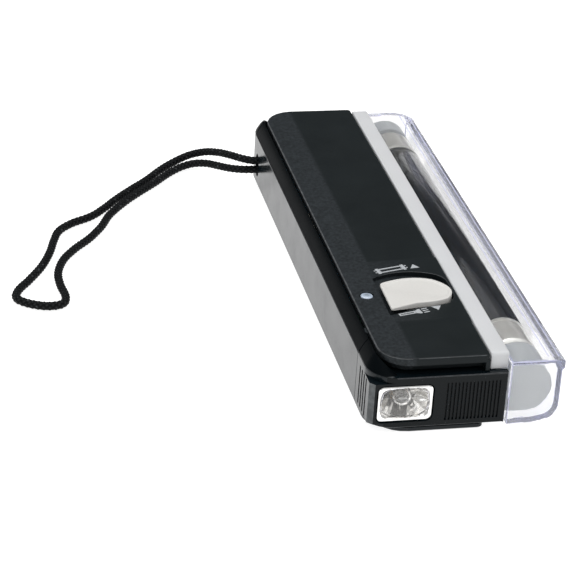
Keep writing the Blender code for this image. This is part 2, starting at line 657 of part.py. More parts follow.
def inset_plan(points, inset):
    """Shrink an outline toward its middle by about the given distance."""
    mx = sum(p[0] for p in points) / len(points)
    my = sum(p[1] for p in points) / len(points)
    result = []
    for x, y in points:
        d = math.hypot(x - mx, y - my)
        k = (d - inset) / d
        result.append((mx + (x - mx) * k, my + (y - my) * k))
    return result


def make_switch(mats):
    knob = knob_plan()
    levels = [(knob, 20.3), (knob, 21.9), (inset_plan(knob, 0.18), 22.25), (inset_plan(knob, 0.6), 22.45)]
    origin = (STEM_X, STEM_Y, 20.3)
    top = solid("switch_knob", lambda bm: add_loft(bm, levels), mats["cream"], origin)
    fuse(top, "knob_stem", lambda bm: add_box(
        bm, (STEM_X - 2.4, STEM_X + 2.4), (STEM_Y - 1.8, STEM_Y + 1.8), (18.6, 20.9)))
    cut(top, "knob_fork", lambda bm: add_box(
        bm, (STEM_X - 1.3, STEM_X + 1.3), (STEM_Y - 0.95, STEM_Y + 0.95), (17.0, 20.1)))
    solid("switch_slider", lambda bm: add_box(
        bm, (STEM_X - 1.0, STEM_X + 1.0), (STEM_Y - 0.65, STEM_Y + 0.65), (16.2, 19.8)),
        mats["black"], origin)
    body_y = (STEM_Y + SWITCH_TRAVEL / 2 - 6.0, STEM_Y + SWITCH_TRAVEL / 2 + 5.4)
    switch = solid("slide_switch", lambda bm: add_box(
        bm, (STEM_X - 3.2, STEM_X + 3.2), body_y, (14.5, 18.2)), mats["steel"])
    cut(switch, "slider_track", lambda bm: add_box(
        bm, (STEM_X - 1.35, STEM_X + 1.35),
        (STEM_Y - 0.95 - 0.1, STEM_Y + 0.95 + SWITCH_TRAVEL + 0.1), (15.9, 19.0)))
    solid("indicator_lens", lambda bm: add_turned(
        bm, "Z", (7.1, 35.8), ((1.62, 19.5), (1.62, 20.55), (1.3, 20.8), (0.0, 20.95)), 20),
        mats["led"])
    solid("indicator_led", lambda bm: add_turned(
        bm, "Z", (7.1, 35.8), ((1.45, 14.5), (1.45, 17.8), (1.15, 18.7), (0.0, 19.15)), 16),
        mats["led"])


# ------------------------------------------------------------------ electronics

def make_electronics(mats):
    board_x, board_y, board_z = (3.9, 29.9), (16.3, 37.5), (13.0, 14.2)
    board = solid("circuit_board", lambda bm: add_box(bm, board_x, board_y, board_z), mats["board"])

    for index, x in enumerate(((3.0, 7.6), (24.0, 31.0))):
        cut(board, f"boss_notch_{index}", lambda bm, x=x: add_box(bm, x, (15.0, 22.2), (12.0, 15.0)))
    below = board_z[0] - GAP
    solid("transformer_core", lambda bm: add_box(bm, (12.0, 23.0), (26.6, 36.6), (4.4, below)),
          mats["ferrite"])
    solid("transformer_coil", lambda bm: add_box(bm, (13.4, 21.6), (27.9, 35.3), (2.3, 4.1)),
          mats["copper"])
    for index, x in enumerate((10.4, 16.0), start=1):
        solid(f"capacitor_{index}", lambda bm, x=x: add_turned(
            bm, "Z", (x, 20.4), ((2.3, 3.4), (2.5, 3.7), (2.5, below)), 16), mats["sleeve"])
    solid("drive_transistor", lambda bm: add_box(bm, (19.0, 23.4), (19.4, 22.2), (5.0, below)),
          mats["ferrite"])
    for index, y in enumerate((25.2, 29.0), start=1):
        solid(f"resistor_{index}", lambda bm, y=y: add_turned(
            bm, "X", (y, 11.2), ((0.85, 4.6), (1.15, 5.2), (0.95, 6.2), (0.95, 8.2), (1.15, 9.2),
                                 (0.85, 9.8)), 10), mats["cream"])


def make_cells(mats):
    for column, x in enumerate(CELL_X):
        for row, y in enumerate(CELL_Y):
            nub_far = column == 0
            r = CELL_RADIUS
            body = ((0.0, 0.0), (r - 0.5, 0.0), (r, 0.5), (r, 48.6), (r - 0.6, 49.2),
                    (2.7, 49.2), (2.7, CELL_LENGTH), (0.0, CELL_LENGTH))
            profile = [(a, y + b if nub_far else y + CELL_LENGTH - b) for a, b in body]
            solid(f"cell_{column * 2 + row + 1}", lambda bm, x=x, p=profile: add_turned(
                bm, "Y", (x, CELL_Z), p, 24), mats["jacket"])
    for index, x in enumerate(CELL_X, start=1):
        make_spring(f"contact_spring_{index}", x, mats["steel"])
    solid("contact_plate_near", lambda bm: add_box(bm, (3.4, 28.3), (39.0, 39.35), (3.6, 14.2)),
          mats["steel"])
    solid("contact_plate_far", lambda bm: add_box(bm, (3.4, 28.3), (143.0, 143.3), (3.6, 14.2)),
          mats["steel"])


def make_spring(name, x, material):
    """Compressed conical spring between the near plate and a cell."""
    turns, points_per_turn, wire = 2.0, 12, 0.28
    start, end = 39.35 + GAP + wire, CELL_Y[0] - GAP - wire
    count = int(turns * points_per_turn)
    path = []
    for i in range(count + 1):
        t = i / count
        angle = 2 * math.pi * turns * t
        radius = 4.4 - 1.9 * t
        path.append((x + radius * math.cos(angle), start + (end - start) * t,
                     CELL_Z + radius * math.sin(angle)))
    wire_object(name, path, wire, material, 0)


def wire_object(name, path, radius, material, resolution):
    curve = bpy.data.curves.new(name, "CURVE")
    curve.dimensions = "3D"
    curve.bevel_depth = radius * MM
    curve.bevel_resolution = resolution
    curve.use_fill_caps = True
    origin = Vector(path[0])
    spline = curve.splines.new("POLY")
    spline.points.add(len(path) - 1)
    for point, place in zip(spline.points, path):
        point.co = (*((Vector(place) - origin) * MM), 1.0)
    curve.materials.append(material)
    obj = bpy.data.objects.new(name, curve)
    obj.location = (origin - Vector((WIDTH / 2, LENGTH / 2, 0))) * MM
    bpy.context.collection.objects.link(obj)
    return obj


def make_screws(mats):
    for index, place in enumerate(SCREW_PLACES, start=1):
        profile = ((0.0, 2.0), (1.5, 2.0), (1.8, 2.4), (1.8, 3.2), (1.0, 3.5), (1.0, 17.4), (0.0, 18.6))
        solid(f"case_screw_{index}", lambda bm, p=place, q=profile: add_turned(
            bm, "Z", p, q, 12), mats["steel"])


# ------------------------------------------------------------------ strap

def smooth_route(route, step):
    """Even points on a Catmull-Rom curve through the route."""
    points = [Vector(p) for p in route]
    ends = [points[0] * 2 - points[1]] + points + [points[-1] * 2 - points[-2]]
    fine = []
    parts = 16
    for a, b, c, d in zip(ends, ends[1:], ends[2:], ends[3:]):
        for i in range(parts):
            t = i / parts
            fine.append(0.5 * ((2 * b) + (c - a) * t + (2 * a - 5 * b + 4 * c - d) * t ** 2
                               + (3 * b - a - 3 * c + d) * t ** 3))
    fine.append(points[-1])
    lengths = [0.0]
    for a, b in zip(fine, fine[1:]):
        lengths.append(lengths[-1] + (b - a).length)
    count = round(lengths[-1] / step)
    result, index = [], 0
    for i in range(count + 1):
        want = lengths[-1] * i / count
        while index < len(fine) - 2 and lengths[index + 1] < want:
            index += 1
        span = lengths[index + 1] - lengths[index]
        result.append(fine[index].lerp(fine[index + 1], (want - lengths[index]) / span))
    return result


def make_strap(mats):
    wire_object("strap_cord", smooth_route(STRAP_ROUTE, CORD_POINT_STEP), CORD_RADIUS,
                mats["braid"], 2)
    knot = ((0.0, 2.05), (3.0, 2.05), (3.7, 3.2), (3.9, 4.6), (3.4, 6.2), (2.0, 7.2), (0.0, 7.5))
    solid("strap_knot", lambda bm: add_turned(bm, "X", (148.6, 7.6), knot, 14), mats["braid"])


# ------------------------------------------------------------------ build

def main():
    for obj in list(bpy.data.objects):
        bpy.data.objects.remove(obj, do_unlink=True)
    mats = make_finishes()
    make_body_shell(mats)
    make_side_rail(mats)
    make_head_cap(mats)
    make_top_cover(mats)
    make_battery_door(mats)
    make_lamp_tray(mats)
    make_lamp_reflector(mats)
    make_lamp_cover(mats)
    make_lamp(mats)
    make_lamp_holder("lamp_holder_near", 11.7, 9.5, 1, mats)
    make_lamp_holder("lamp_holder_far", 148.3, 6.9, -1, mats)
    make_torch(mats)
    make_switch(mats)
    make_electronics(mats)
    make_cells(mats)
    make_screws(mats)
    make_strap(mats)


main()
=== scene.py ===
import json
import math

import bmesh
import bpy
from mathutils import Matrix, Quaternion, Vector

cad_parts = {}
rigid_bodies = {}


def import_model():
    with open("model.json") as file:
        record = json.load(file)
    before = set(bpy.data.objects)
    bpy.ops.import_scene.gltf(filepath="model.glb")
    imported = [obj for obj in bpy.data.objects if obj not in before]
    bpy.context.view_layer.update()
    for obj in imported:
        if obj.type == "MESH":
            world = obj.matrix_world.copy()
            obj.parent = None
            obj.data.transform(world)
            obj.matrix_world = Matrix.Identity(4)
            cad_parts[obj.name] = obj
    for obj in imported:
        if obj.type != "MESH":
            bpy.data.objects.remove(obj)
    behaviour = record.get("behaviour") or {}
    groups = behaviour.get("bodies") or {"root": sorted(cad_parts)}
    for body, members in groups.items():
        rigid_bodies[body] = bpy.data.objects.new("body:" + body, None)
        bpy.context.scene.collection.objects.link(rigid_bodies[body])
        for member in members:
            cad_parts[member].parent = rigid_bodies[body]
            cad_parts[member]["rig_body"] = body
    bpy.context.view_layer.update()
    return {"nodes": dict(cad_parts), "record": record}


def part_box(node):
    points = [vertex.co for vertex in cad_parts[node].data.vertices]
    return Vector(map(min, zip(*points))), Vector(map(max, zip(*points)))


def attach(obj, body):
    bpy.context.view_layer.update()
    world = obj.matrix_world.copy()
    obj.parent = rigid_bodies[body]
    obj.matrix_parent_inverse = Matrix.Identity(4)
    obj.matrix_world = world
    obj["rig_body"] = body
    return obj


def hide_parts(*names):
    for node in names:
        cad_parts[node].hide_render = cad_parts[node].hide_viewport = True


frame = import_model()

MM = 0.001
NODES = frame["nodes"]
SLOTS = {part["node"]: part["material_slot"] for part in frame["record"]["subparts"]}
# Case millimetres, from its left near bottom corner, are row-frame millimetres plus this.
CASE_MIDDLE = Vector((25.25, 80.0, 0.0))
CREASE_X, CREASE_SLOPE = 11.5, 0.055
PLATEAU_Y = (19.0, 56.0)
SHELL_BOTTOM, SHELL_LEDGE, CORNER_RADIUS = 1.65, 16.1, 7.0
# How near, in millimetres, counts as being at a wall or a level.
TOUCH = 0.02


def row_place(place):
    """Case millimetres to row-frame metres."""
    return (Vector(place) - CASE_MIDDLE) * MM


def case_place(point):
    """Row-frame metres to case millimetres."""
    return point / MM + CASE_MIDDLE


def placed(name, data):
    """A new object, linked into the scene."""
    obj = bpy.data.objects.new(name, data)
    bpy.context.scene.collection.objects.link(obj)
    return obj


# ---------------- camera

CAMERA_PLACE = Vector((-0.15486, -0.53660, 0.28536))
CAMERA_TARGET = Vector((-0.03327, -0.01786, 0.01000))
CAMERA_ROLL = math.radians(3.54)
CAMERA_LENS = 137.15


def make_camera():
    data = bpy.data.cameras.new("camera")
    data.lens = CAMERA_LENS
    data.sensor_width = 36.0
    data.clip_start, data.clip_end = 0.05, 20.0
    camera = placed("camera", data)
    look = (CAMERA_TARGET - CAMERA_PLACE).to_track_quat("-Z", "Y")
    camera.rotation_mode = "QUATERNION"
    camera.rotation_quaternion = look @ Quaternion((0, 0, 1), CAMERA_ROLL)
    camera.location = CAMERA_PLACE
    bpy.context.scene.camera = camera


# ---------------- node helpers

def new_material(name, colour, roughness, **sockets):
    material = bpy.data.materials.new(name)
    material.use_nodes = True
    tree = material.node_tree
    shader = tree.nodes["Principled BSDF"]
    shader.inputs["Base Color"].default_value = (*colour, 1.0)
    shader.inputs["Roughness"].default_value = roughness
    for socket, value in sockets.items():
        shader.inputs[socket.replace("_", " ")].default_value = value
    return material, tree, shader


def feed(node, socket, value):
    node.id_data.links.new(value, node.inputs[socket])


def place_of(tree, stretch=(1, 1, 1)):
    """Row-frame place in millimetres, stretched for directional grain."""
    mapping = tree.nodes.new("ShaderNodeMapping")
    mapping.inputs["Scale"].default_value = [s / MM for s in stretch]
    coordinates = tree.nodes.new("ShaderNodeTexCoord")
    feed(mapping, "Vector", coordinates.outputs["Object"])
    return mapping.outputs["Vector"]


def noise_of(tree, place, scale, detail=3.0, roughness=0.55):
    node = tree.nodes.new("ShaderNodeTexNoise")
    node.inputs["Scale"].default_value = scale
    node.inputs["Detail"].default_value = detail
    node.inputs["Roughness"].default_value = roughness
    feed(node, "Vector", place)
    return node.outputs["Fac"]


def ramp_of(tree, factor, stops):
    """Colour ramp from (place, colour or grey level) stops."""
    node = tree.nodes.new("ShaderNodeValToRGB")
    elements = node.color_ramp.elements
    while len(elements) < len(stops):
        elements.new(0.5)
    for element, (position, colour) in zip(elements, stops):
        element.position = position
        element.color = (colour, colour, colour, 1) if isinstance(colour, float) else (*colour, 1)
    feed(node, "Fac", factor)
    return node.outputs["Color"]


def math_of(tree, operation, a, b=0.0):
    node = tree.nodes.new("ShaderNodeMath")
    node.operation = operation
    for socket, value in zip(node.inputs, (a, b)):
        if isinstance(value, (int, float)):
            socket.default_value = value
        else:
            tree.links.new(value, socket)
    return node.outputs["Value"]


def mix_of(tree, factor, a, b, blend="MIX"):
    node = tree.nodes.new("ShaderNodeMix")
    node.data_type = "RGBA"
    node.blend_type = blend
    if isinstance(factor, float):
        node.inputs["Factor"].default_value = factor
    else:
        feed(node, "Factor", factor)
    for socket, value in zip((node.inputs[6], node.inputs[7]), (a, b)):
        if isinstance(value, tuple):
            socket.default_value = (*value, 1)
        else:
            tree.links.new(value, socket)
    return node.outputs[2]


def add_bump(tree, shader, height, distance):
    """Bump of the given depth in millimetres."""
    node = tree.nodes.new("ShaderNodeBump")
    node.inputs["Distance"].default_value = distance * MM
    feed(node, "Height", height)
    previous = shader.inputs["Normal"].links
    if previous:
        feed(node, "Normal", previous[0].from_socket)
    feed(shader, "Normal", node.outputs["Normal"])


def axes_of(tree, place):
    node = tree.nodes.new("ShaderNodeSeparateXYZ")
    feed(node, "Vector", place)
    return node.outputs


def inverse_of(tree, value):
    return math_of(tree, "SUBTRACT", 1.0, value)


def scaled(colour, factor):
    return tuple(min(c * factor, 1.0) for c in colour)


# ---------------- materials

def moulded(name, colour, roughness, grain=3.0, depth=0.002, mottle=0.06, speckle=0.05, spread=0.03,
            **sockets):
    """Moulded plastic: fine spark-eroded grain, faint flow mottling and uneven gloss."""
    material, tree, shader = new_material(name, colour, roughness, **sockets)
    place = place_of(tree)
    base = mottled(tree, place, colour, mottle, speckle)
    feed(shader, "Base Color", base)
    finish_plastic(tree, shader, place, roughness, spread, grain, depth)
    return material


def mottled(tree, place, colour, mottle, speckle):
    """A colour with slow clouds and a fine speckle."""
    cloud = noise_of(tree, place, 0.06, 4.0)
    base = ramp_of(tree, cloud, ((0.30, scaled(colour, 1 - mottle)), (0.70, scaled(colour, 1 + mottle))))
    fine = ramp_of(tree, noise_of(tree, place, 1.7, 3.0), ((0.30, 1.0 - speckle), (0.70, 1.0)))
    return mix_of(tree, 1.0, base, fine, "MULTIPLY")


def finish_plastic(tree, shader, place, roughness, spread, grain, depth):
    patch = noise_of(tree, place, 0.12, 5.0)
    low, high = roughness - spread, roughness + spread
    feed(shader, "Roughness", ramp_of(tree, patch, ((0.30, low), (0.70, high))))
    add_bump(tree, shader, noise_of(tree, place, grain, 2.0), depth)


def highlighted_and_scuffed(name, colour, roughness, **sockets):
    """The same plastic on its edges, painted paler there as a painted highlight, with paler scuffs at
    random.
    """
    material, tree, shader = new_material(name, colour, roughness, **sockets)
    place = place_of(tree)
    scuff = ramp_of(tree, noise_of(tree, place, 0.5, 5.0), ((0.42, 0.0), (0.68, 1.0)))
    base = mix_of(tree, scuff, colour, scaled(colour, 2.2))
    feed(shader, "Base Color", base)
    add_bump(tree, shader, noise_of(tree, place, 2.5, 3.0), 0.003)
    return material


def smooth_step(tree, value, low, high):
    """0 below the low place, 1 above the high one, eased between."""
    node = tree.nodes.new("ShaderNodeMapRange")
    node.interpolation_type = "SMOOTHSTEP"
    feed(node, "Value", value)
    node.inputs["From Min"].default_value = low
    node.inputs["From Max"].default_value = high
    return node.outputs["Result"]


def cover_plastic():
    """The top cover: satin black, with a coarser grain left of the crease and round the switch, painted
    paler there as painted light on the tilted faces, fading away to the right.
    """
    smooth, etched_lit = (0.0098, 0.0130, 0.0142), (0.0215, 0.0255, 0.0285)
    roughness = 0.40
    material, tree, shader = new_material("black_cover", smooth, roughness, IOR=1.21)
    place = place_of(tree)
    across, along = axes_of(tree, place)[:2]
    crease = CREASE_X - CASE_MIDDLE.x
    near, far = (y - CASE_MIDDLE.y for y in PLATEAU_Y)
    # Painted light: left of the crease, and over the switch field fading to the right, the colour is made
    # paler.
    left_of_crease = inverse_of(tree, smooth_step(tree, across, crease - 0.7, crease + 0.7))
    in_field = math_of(tree, "MULTIPLY", smooth_step(tree, along, near + 1.2, near + 1.8),
                       inverse_of(tree, smooth_step(tree, along, far - 1.8, far - 1.2)))
    light_fade = inverse_of(tree, smooth_step(tree, across, crease, crease + 17.0))
    field = math_of(tree, "MULTIPLY", math_of(tree, "MULTIPLY", in_field, light_fade), 0.62)
    lit_zone = math_of(tree, "MAXIMUM", left_of_crease, field)
    grain = noise_of(tree, place, 1.1, 5.0, 0.7)
    lit_pitted = ramp_of(tree, grain, ((0.36, scaled(etched_lit, 0.55)), (0.64, scaled(etched_lit, 1.30))))
    plain = mottled(tree, place, smooth, 0.10, 0.08)
    feed(shader, "Base Color", mix_of(tree, lit_zone, plain, lit_pitted))
    finish_plastic(tree, shader, place, roughness, 0.04, 2.6, 0.004)
    return material


def clear_acrylic(name, colour, clearest, haziest, clearness=1.0):
    """Clear moulded acrylic whose long paths pick up a violet-blue tint."""
    material, tree, shader = new_material(name, colour, clearest, Transmission_Weight=clearness, IOR=1.49)
    flow = noise_of(tree, place_of(tree, (1, 0.004, 1)), 0.5, 1.0)
    add_bump(tree, shader, flow, 0.001)
    haze = noise_of(tree, place_of(tree), 1.2, 6.0)
    feed(shader, "Roughness", ramp_of(tree, haze, ((0.60, clearest), (0.85, haziest))))
    tint = tree.nodes.new("ShaderNodeVolumeAbsorption")
    tint.inputs["Color"].default_value = (0.64, 0.70, 1.0, 1.0)
    tint.inputs["Density"].default_value = 7.0
    feed(tree.nodes["Material Output"], "Volume", tint.outputs["Volume"])
    return material


def blown_glass():
    material, tree, shader = new_material("bulb_glass", (0.98, 0.98, 0.98), 0.02,
                                          Transmission_Weight=1.0, IOR=1.47)
    add_bump(tree, shader, noise_of(tree, place_of(tree), 0.5, 2.0), 0.004)
    return material


def filter_glass():
    """Nearly black cobalt glass of the blacklight tube, with faint draw lines and dust."""
    colour = (0.010, 0.014, 0.021)
    material, tree, shader = new_material("blacklight_glass", colour, 0.07, IOR=1.36)
    lines = noise_of(tree, place_of(tree, (1, 0.02, 1)), 0.8, 3.0)
    dust = ramp_of(tree, noise_of(tree, place_of(tree), 2.4, 6.0), ((0.66, 0.0), (0.82, 1.0)))
    base = ramp_of(tree, lines, ((0.3, scaled(colour, 0.8)), (0.7, scaled(colour, 1.25))))
    base = mix_of(tree, math_of(tree, "MULTIPLY", dust, 0.08), base, (0.06, 0.065, 0.07))
    feed(shader, "Base Color", base)
    rough = math_of(tree, "ADD", math_of(tree, "MULTIPLY", dust, 0.04), 0.06)
    feed(shader, "Roughness", rough)
    add_bump(tree, shader, lines, 0.0005)
    return material


def brushed(name, colour, roughness, stretch, metal=1.0):
    """Metal with fine drawn lines along one direction and slight tarnish."""
    material, tree, shader = new_material(name, colour, roughness, Metallic=metal)
    lines = noise_of(tree, place_of(tree, stretch), 6.0, 4.0)
    tarnish = noise_of(tree, place_of(tree), 0.3, 4.0)
    base = ramp_of(tree, tarnish, ((0.32, scaled(colour, 0.93)), (0.68, scaled(colour, 1.04))))
    feed(shader, "Base Color", base)
    rough = ramp_of(tree, lines, ((0.30, roughness * 0.85), (0.70, roughness * 1.2)))
    feed(shader, "Roughness", rough)
    add_bump(tree, shader, lines, 0.002)
    return material


def chromed(name, colour, stained):
    """Vacuum-metallised plastic: bright, with the faint waviness of its moulding."""
    material, tree, shader = new_material(name, colour, 0.05, Metallic=1.0)
    place = place_of(tree)
    stain = noise_of(tree, place, 0.8, 5.0)
    feed(shader, "Base Color", ramp_of(tree, stain, ((0.4, colour), (0.75, stained))))
    feed(shader, "Roughness", ramp_of(tree, stain, ((0.4, 0.02), (0.8, 0.06))))
    add_bump(tree, shader, noise_of(tree, place, 0.35, 2.0), 0.002)
    return material


def board_green():
    """Solder-masked board: copper tracks show as a paler maze, pads as small dots."""
    colour = (0.022, 0.130, 0.055)
    material, tree, shader = new_material("green_board", colour, 0.35)
    place = place_of(tree)
    brick = tree.nodes.new("ShaderNodeTexBrick")
    brick.inputs["Scale"].default_value = 0.55
    brick.inputs["Mortar Size"].default_value = 0.12
    brick.inputs["Color1"].default_value = (0, 0, 0, 1)
    brick.inputs["Color2"].default_value = (0, 0, 0, 1)
    brick.inputs["Mortar"].default_value = (1, 1, 1, 1)
    feed(brick, "Vector", place)
    pads = tree.nodes.new("ShaderNodeTexVoronoi")
    pads.inputs["Scale"].default_value = 0.35
    feed(pads, "Vector", place)
    tracks = mix_of(tree, brick.outputs["Color"], colour, (0.045, 0.22, 0.085))
    dot = ramp_of(tree, pads.outputs["Distance"], ((0.16, 1.0), (0.20, 0.0)))
    feed(shader, "Base Color", mix_of(tree, dot, tracks, (0.55, 0.54, 0.50)))
    add_bump(tree, shader, brick.outputs["Color"], 0.03)
    return material


def wound_copper():
    colour = (0.60, 0.26, 0.11)
    material, tree, shader = new_material("copper_winding", colour, 0.3, Metallic=1.0)
    wave = tree.nodes.new("ShaderNodeTexWave")
    wave.bands_direction = "Z"
    wave.inputs["Scale"].default_value = 1.4
    wave.inputs["Distortion"].default_value = 0.4
    feed(wave, "Vector", place_of(tree))
    turns = ramp_of(tree, wave.outputs["Fac"], ((0.0, scaled(colour, 0.45)), (0.6, colour)))
    feed(shader, "Base Color", turns)
    add_bump(tree, shader, wave.outputs["Fac"], 0.10)
    return material


def banded(name, colour, band, axis, centre, half_width):
    """Shrink sleeve with one plain band at a place along an axis, in millimetres."""
    material, tree, shader = new_material(name, colour, 0.3)
    place = place_of(tree)
    distance = math_of(tree, "ABSOLUTE", math_of(tree, "SUBTRACT", axes_of(tree, place)[axis], centre))
    inside = math_of(tree, "LESS_THAN", distance, half_width)
    clouds = ramp_of(tree, noise_of(tree, place, 0.2, 4.0),
                     ((0.3, scaled(colour, 0.85)), (0.7, scaled(colour, 1.15))))
    feed(shader, "Base Color", mix_of(tree, inside, clouds, band))
    add_bump(tree, shader, noise_of(tree, place, 1.5, 3.0), 0.015)
    return material


def braided():
    """Matte nylon yarn: fine fibres, grey where the strands are worn, and a painted highlight on the
    braid's raised crests.
    """
    colour = (0.0020, 0.0026, 0.0030)
    material, tree, shader = new_material("black_braid", colour, 0.50, IOR=1.18)
    place = place_of(tree)
    fibres = noise_of(tree, place, 7.0, 5.0)
    rub = noise_of(tree, place, 0.5, 4.0)
    base = ramp_of(tree, fibres, ((0.35, scaled(colour, 0.5)), (0.75, scaled(colour, 2.0))))
    worn = ramp_of(tree, rub, ((0.55, 0.0), (0.85, 0.30)))
    base = mix_of(tree, worn, base, (0.008, 0.009, 0.010))
    # Painted highlight: where the braid's surface is sharpest, on its raised crests, the colour is
    # painted paler.
    shape = tree.nodes.new("ShaderNodeNewGeometry")
    ridge_highlight = ramp_of(tree, shape.outputs["Pointiness"], ((0.53, 0.0), (0.62, 1.0)))
    feed(shader, "Base Color", mix_of(tree, ridge_highlight, base, (0.040, 0.043, 0.046)))
    add_bump(tree, shader, fibres, 0.05)
    return material


def led_epoxy():
    """Milky epoxy: bluish white, greyer over the die in the middle."""
    colour = (0.43, 0.50, 0.60)
    material, tree, shader = new_material("indicator_epoxy", colour, 0.22, Coat_Weight=0.5)
    place = place_of(tree)
    low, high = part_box("indicator_lens")
    middle = (low + high) / 2 / MM
    offset = tree.nodes.new("ShaderNodeVectorMath")
    offset.operation = "DISTANCE"
    offset.inputs[1].default_value = middle
    tree.links.new(place, offset.inputs[0])
    ring = ramp_of(tree, math_of(tree, "MULTIPLY", offset.outputs["Value"], 0.5),
                   ((0.36, (0.24, 0.28, 0.33)), (0.52, (0.34, 0.40, 0.48)), (0.72, colour)))
    feed(shader, "Base Color", ring)
    add_bump(tree, shader, noise_of(tree, place, 1.5, 2.0), 0.01)
    return material


def make_materials():
    return {
        "black_case": moulded("black_case", (0.0030, 0.0062, 0.0086), 0.20, grain=1.4, depth=0.008,
                              spread=0.05, IOR=1.325),
        "black_front": moulded("black_front", (0.0030, 0.0048, 0.0058), 0.24, depth=0.0015, IOR=1.24),
        # Painted highlights: the edge, corner and left-rim materials are paler copies of their plastics,
        # painted on rounded edges and on the torch corner's chamfer.
        "black_case_edge": highlighted_and_scuffed("black_case_edge", (0.014, 0.016, 0.018), 0.26, IOR=1.45),
        "black_shoulder": moulded("black_shoulder", (0.0026, 0.0036, 0.0044), 0.30, IOR=1.06),
        "corner_highlight": highlighted_and_scuffed("corner_highlight", (0.050, 0.055, 0.057), 0.30, IOR=1.40),
        "black_cover": cover_plastic(),
        "black_cover_edge": highlighted_and_scuffed("black_cover_edge", (0.018, 0.021, 0.023), 0.30, IOR=1.45),
        "cover_left_rim_highlight": highlighted_and_scuffed("cover_left_rim_highlight", (0.045, 0.049, 0.052), 0.32, IOR=1.45),
        "light_strip": moulded("light_strip", (0.570, 0.578, 0.590), 0.42, mottle=0.02, speckle=0.02),
        "grey_socket": moulded("grey_socket", (0.67, 0.70, 0.72), 0.48, mottle=0.03, speckle=0.02),
        "cream_plastic": moulded("cream_plastic", (0.64, 0.63, 0.605), 0.36, mottle=0.02, speckle=0.02),
        "white_ink": moulded("white_ink", (0.42, 0.44, 0.46), 0.5, mottle=0.05, speckle=0.15),
        "clear_acrylic": clear_acrylic("clear_acrylic", (1.0, 1.0, 1.0), 0.004, 0.02),
        # Painted light: half opaque pale violet for the cover's rounded edges and top lines, standing in
        # for the glow of light carried along the walls.
        "clear_acrylic_edge": clear_acrylic("clear_acrylic_edge", (0.80, 0.81, 0.98), 0.04, 0.10, 0.50),
        "satin_acrylic": clear_acrylic("satin_acrylic", (1.0, 1.0, 1.0), 0.26, 0.36),
        "blacklight_glass": filter_glass(),
        "bulb_glass": blown_glass(),
        "bright_sheet": chromed("bright_sheet", (0.93, 0.93, 0.92), (0.86, 0.85, 0.83)),
        "shaded_bowl_sheet": chromed("shaded_bowl_sheet", (0.84, 0.835, 0.82), (0.70, 0.68, 0.65)),
        "glass_bead": moulded("glass_bead", (0.115, 0.105, 0.082), 0.16, mottle=0.25, Coat_Weight=0.6),
        "lamp_cap_metal": brushed("lamp_cap_metal", (0.95, 0.94, 0.90), 0.20, (1, 0.06, 1), metal=0.42),
        "brass": brushed("brass", (0.72, 0.52, 0.25), 0.28, (1, 0.2, 1)),
        "sheet_steel": brushed("sheet_steel", (0.58, 0.58, 0.57), 0.34, (1, 1, 0.2)),
        "indicator_epoxy": led_epoxy(),
        "green_board": board_green(),
        "dark_ferrite": moulded("dark_ferrite", (0.030, 0.028, 0.026), 0.62, grain=2.0, depth=0.03),
        "copper_winding": wound_copper(),
        "capacitor_sleeve": banded("capacitor_sleeve", (0.02, 0.035, 0.14), (0.35, 0.36, 0.37), "Z",
                                   5.0, 0.8),
        "resistor_body": banded("resistor_body", (0.50, 0.36, 0.20), (0.20, 0.03, 0.02), "X",
                                -18.0, 0.35),
        "cell_jacket": banded("cell_jacket", (0.035, 0.13, 0.21), (0.62, 0.60, 0.52), "Y", 12.5, 6.0),
        "black_braid": braided(),
    }


# ---------------- mesh helpers

def object_from(name, bm, sharp=40):
    bmesh.ops.recalc_face_normals(bm, faces=bm.faces)
    mesh = bpy.data.meshes.new(name)
    bm.to_mesh(mesh)
    bm.free()
    mesh.shade_smooth()
    mesh.set_sharp_from_angle(angle=math.radians(sharp))
    return placed(name, mesh)


def stands_for(obj, node, *materials):
    """The piece takes a CAD node's place, on the same body, with the given materials."""
    for material in materials:
        obj.data.materials.append(material)
    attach(obj, NODES[node]["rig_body"])
    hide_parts(node)
    return obj


def finished(bm, node, *materials):
    """A mesh with rounded edges, evenly shaded, in its CAD node's place."""
    obj = object_from(node + "_finished", bm, sharp=180)
    even_shading(obj)
    stands_for(obj, node, *materials)


def even_shading(obj):
    """Flat faces keep flat shading; the rounded edges (second material) blend into them."""
    mesh = obj.data
    around = [[] for _ in mesh.vertices]
    for face in mesh.polygons:
        for vertex in face.vertices:
            around[vertex].append(face)
    normals = [None] * len(mesh.loops)
    for face in mesh.polygons:
        rounded = face.material_index == 1
        limit = math.radians(50 if rounded else 30)
        for loop in face.loop_indices:
            near = [f for f in around[mesh.loops[loop].vertex_index]
                    if f is face or f.normal.angle(face.normal, 9) < limit]
            flat = [f for f in near if f.material_index != 1]
            total = sum((f.normal * f.area for f in flat or near), Vector())
            normals[loop] = total.normalized() if total.length else face.normal
    mesh.normals_split_custom_set(normals)


def edge_middle(edge):
    a, b = edge.verts
    return case_place((a.co + b.co) / 2)


def is_sharp(edge):
    return len(edge.link_faces) == 2 and edge.calc_face_angle() > math.radians(30)


def clean_copy(node):
    """The CAD piece's mesh with its triangles joined back into flat faces."""
    weld = 0.03
    bm = bmesh.new()
    bm.from_mesh(NODES[node].data)
    bmesh.ops.remove_doubles(bm, verts=bm.verts, dist=weld * MM)
    bmesh.ops.dissolve_limit(bm, angle_limit=math.radians(1.0), verts=bm.verts[:], edges=bm.edges[:])
    return bm


def round_edges(bm, radius, chosen, material=1):
    """Round the sharp edges that the test picks; the new faces take the given material."""
    edges = [edge for edge in bm.edges if is_sharp(edge) and chosen(edge_middle(edge), edge)]
    bmesh.ops.bevel(bm, geom=edges, offset=radius * MM, offset_type="OFFSET", segments=3,
                    profile=0.5, affect="EDGES", clamp_overlap=False, material=material)


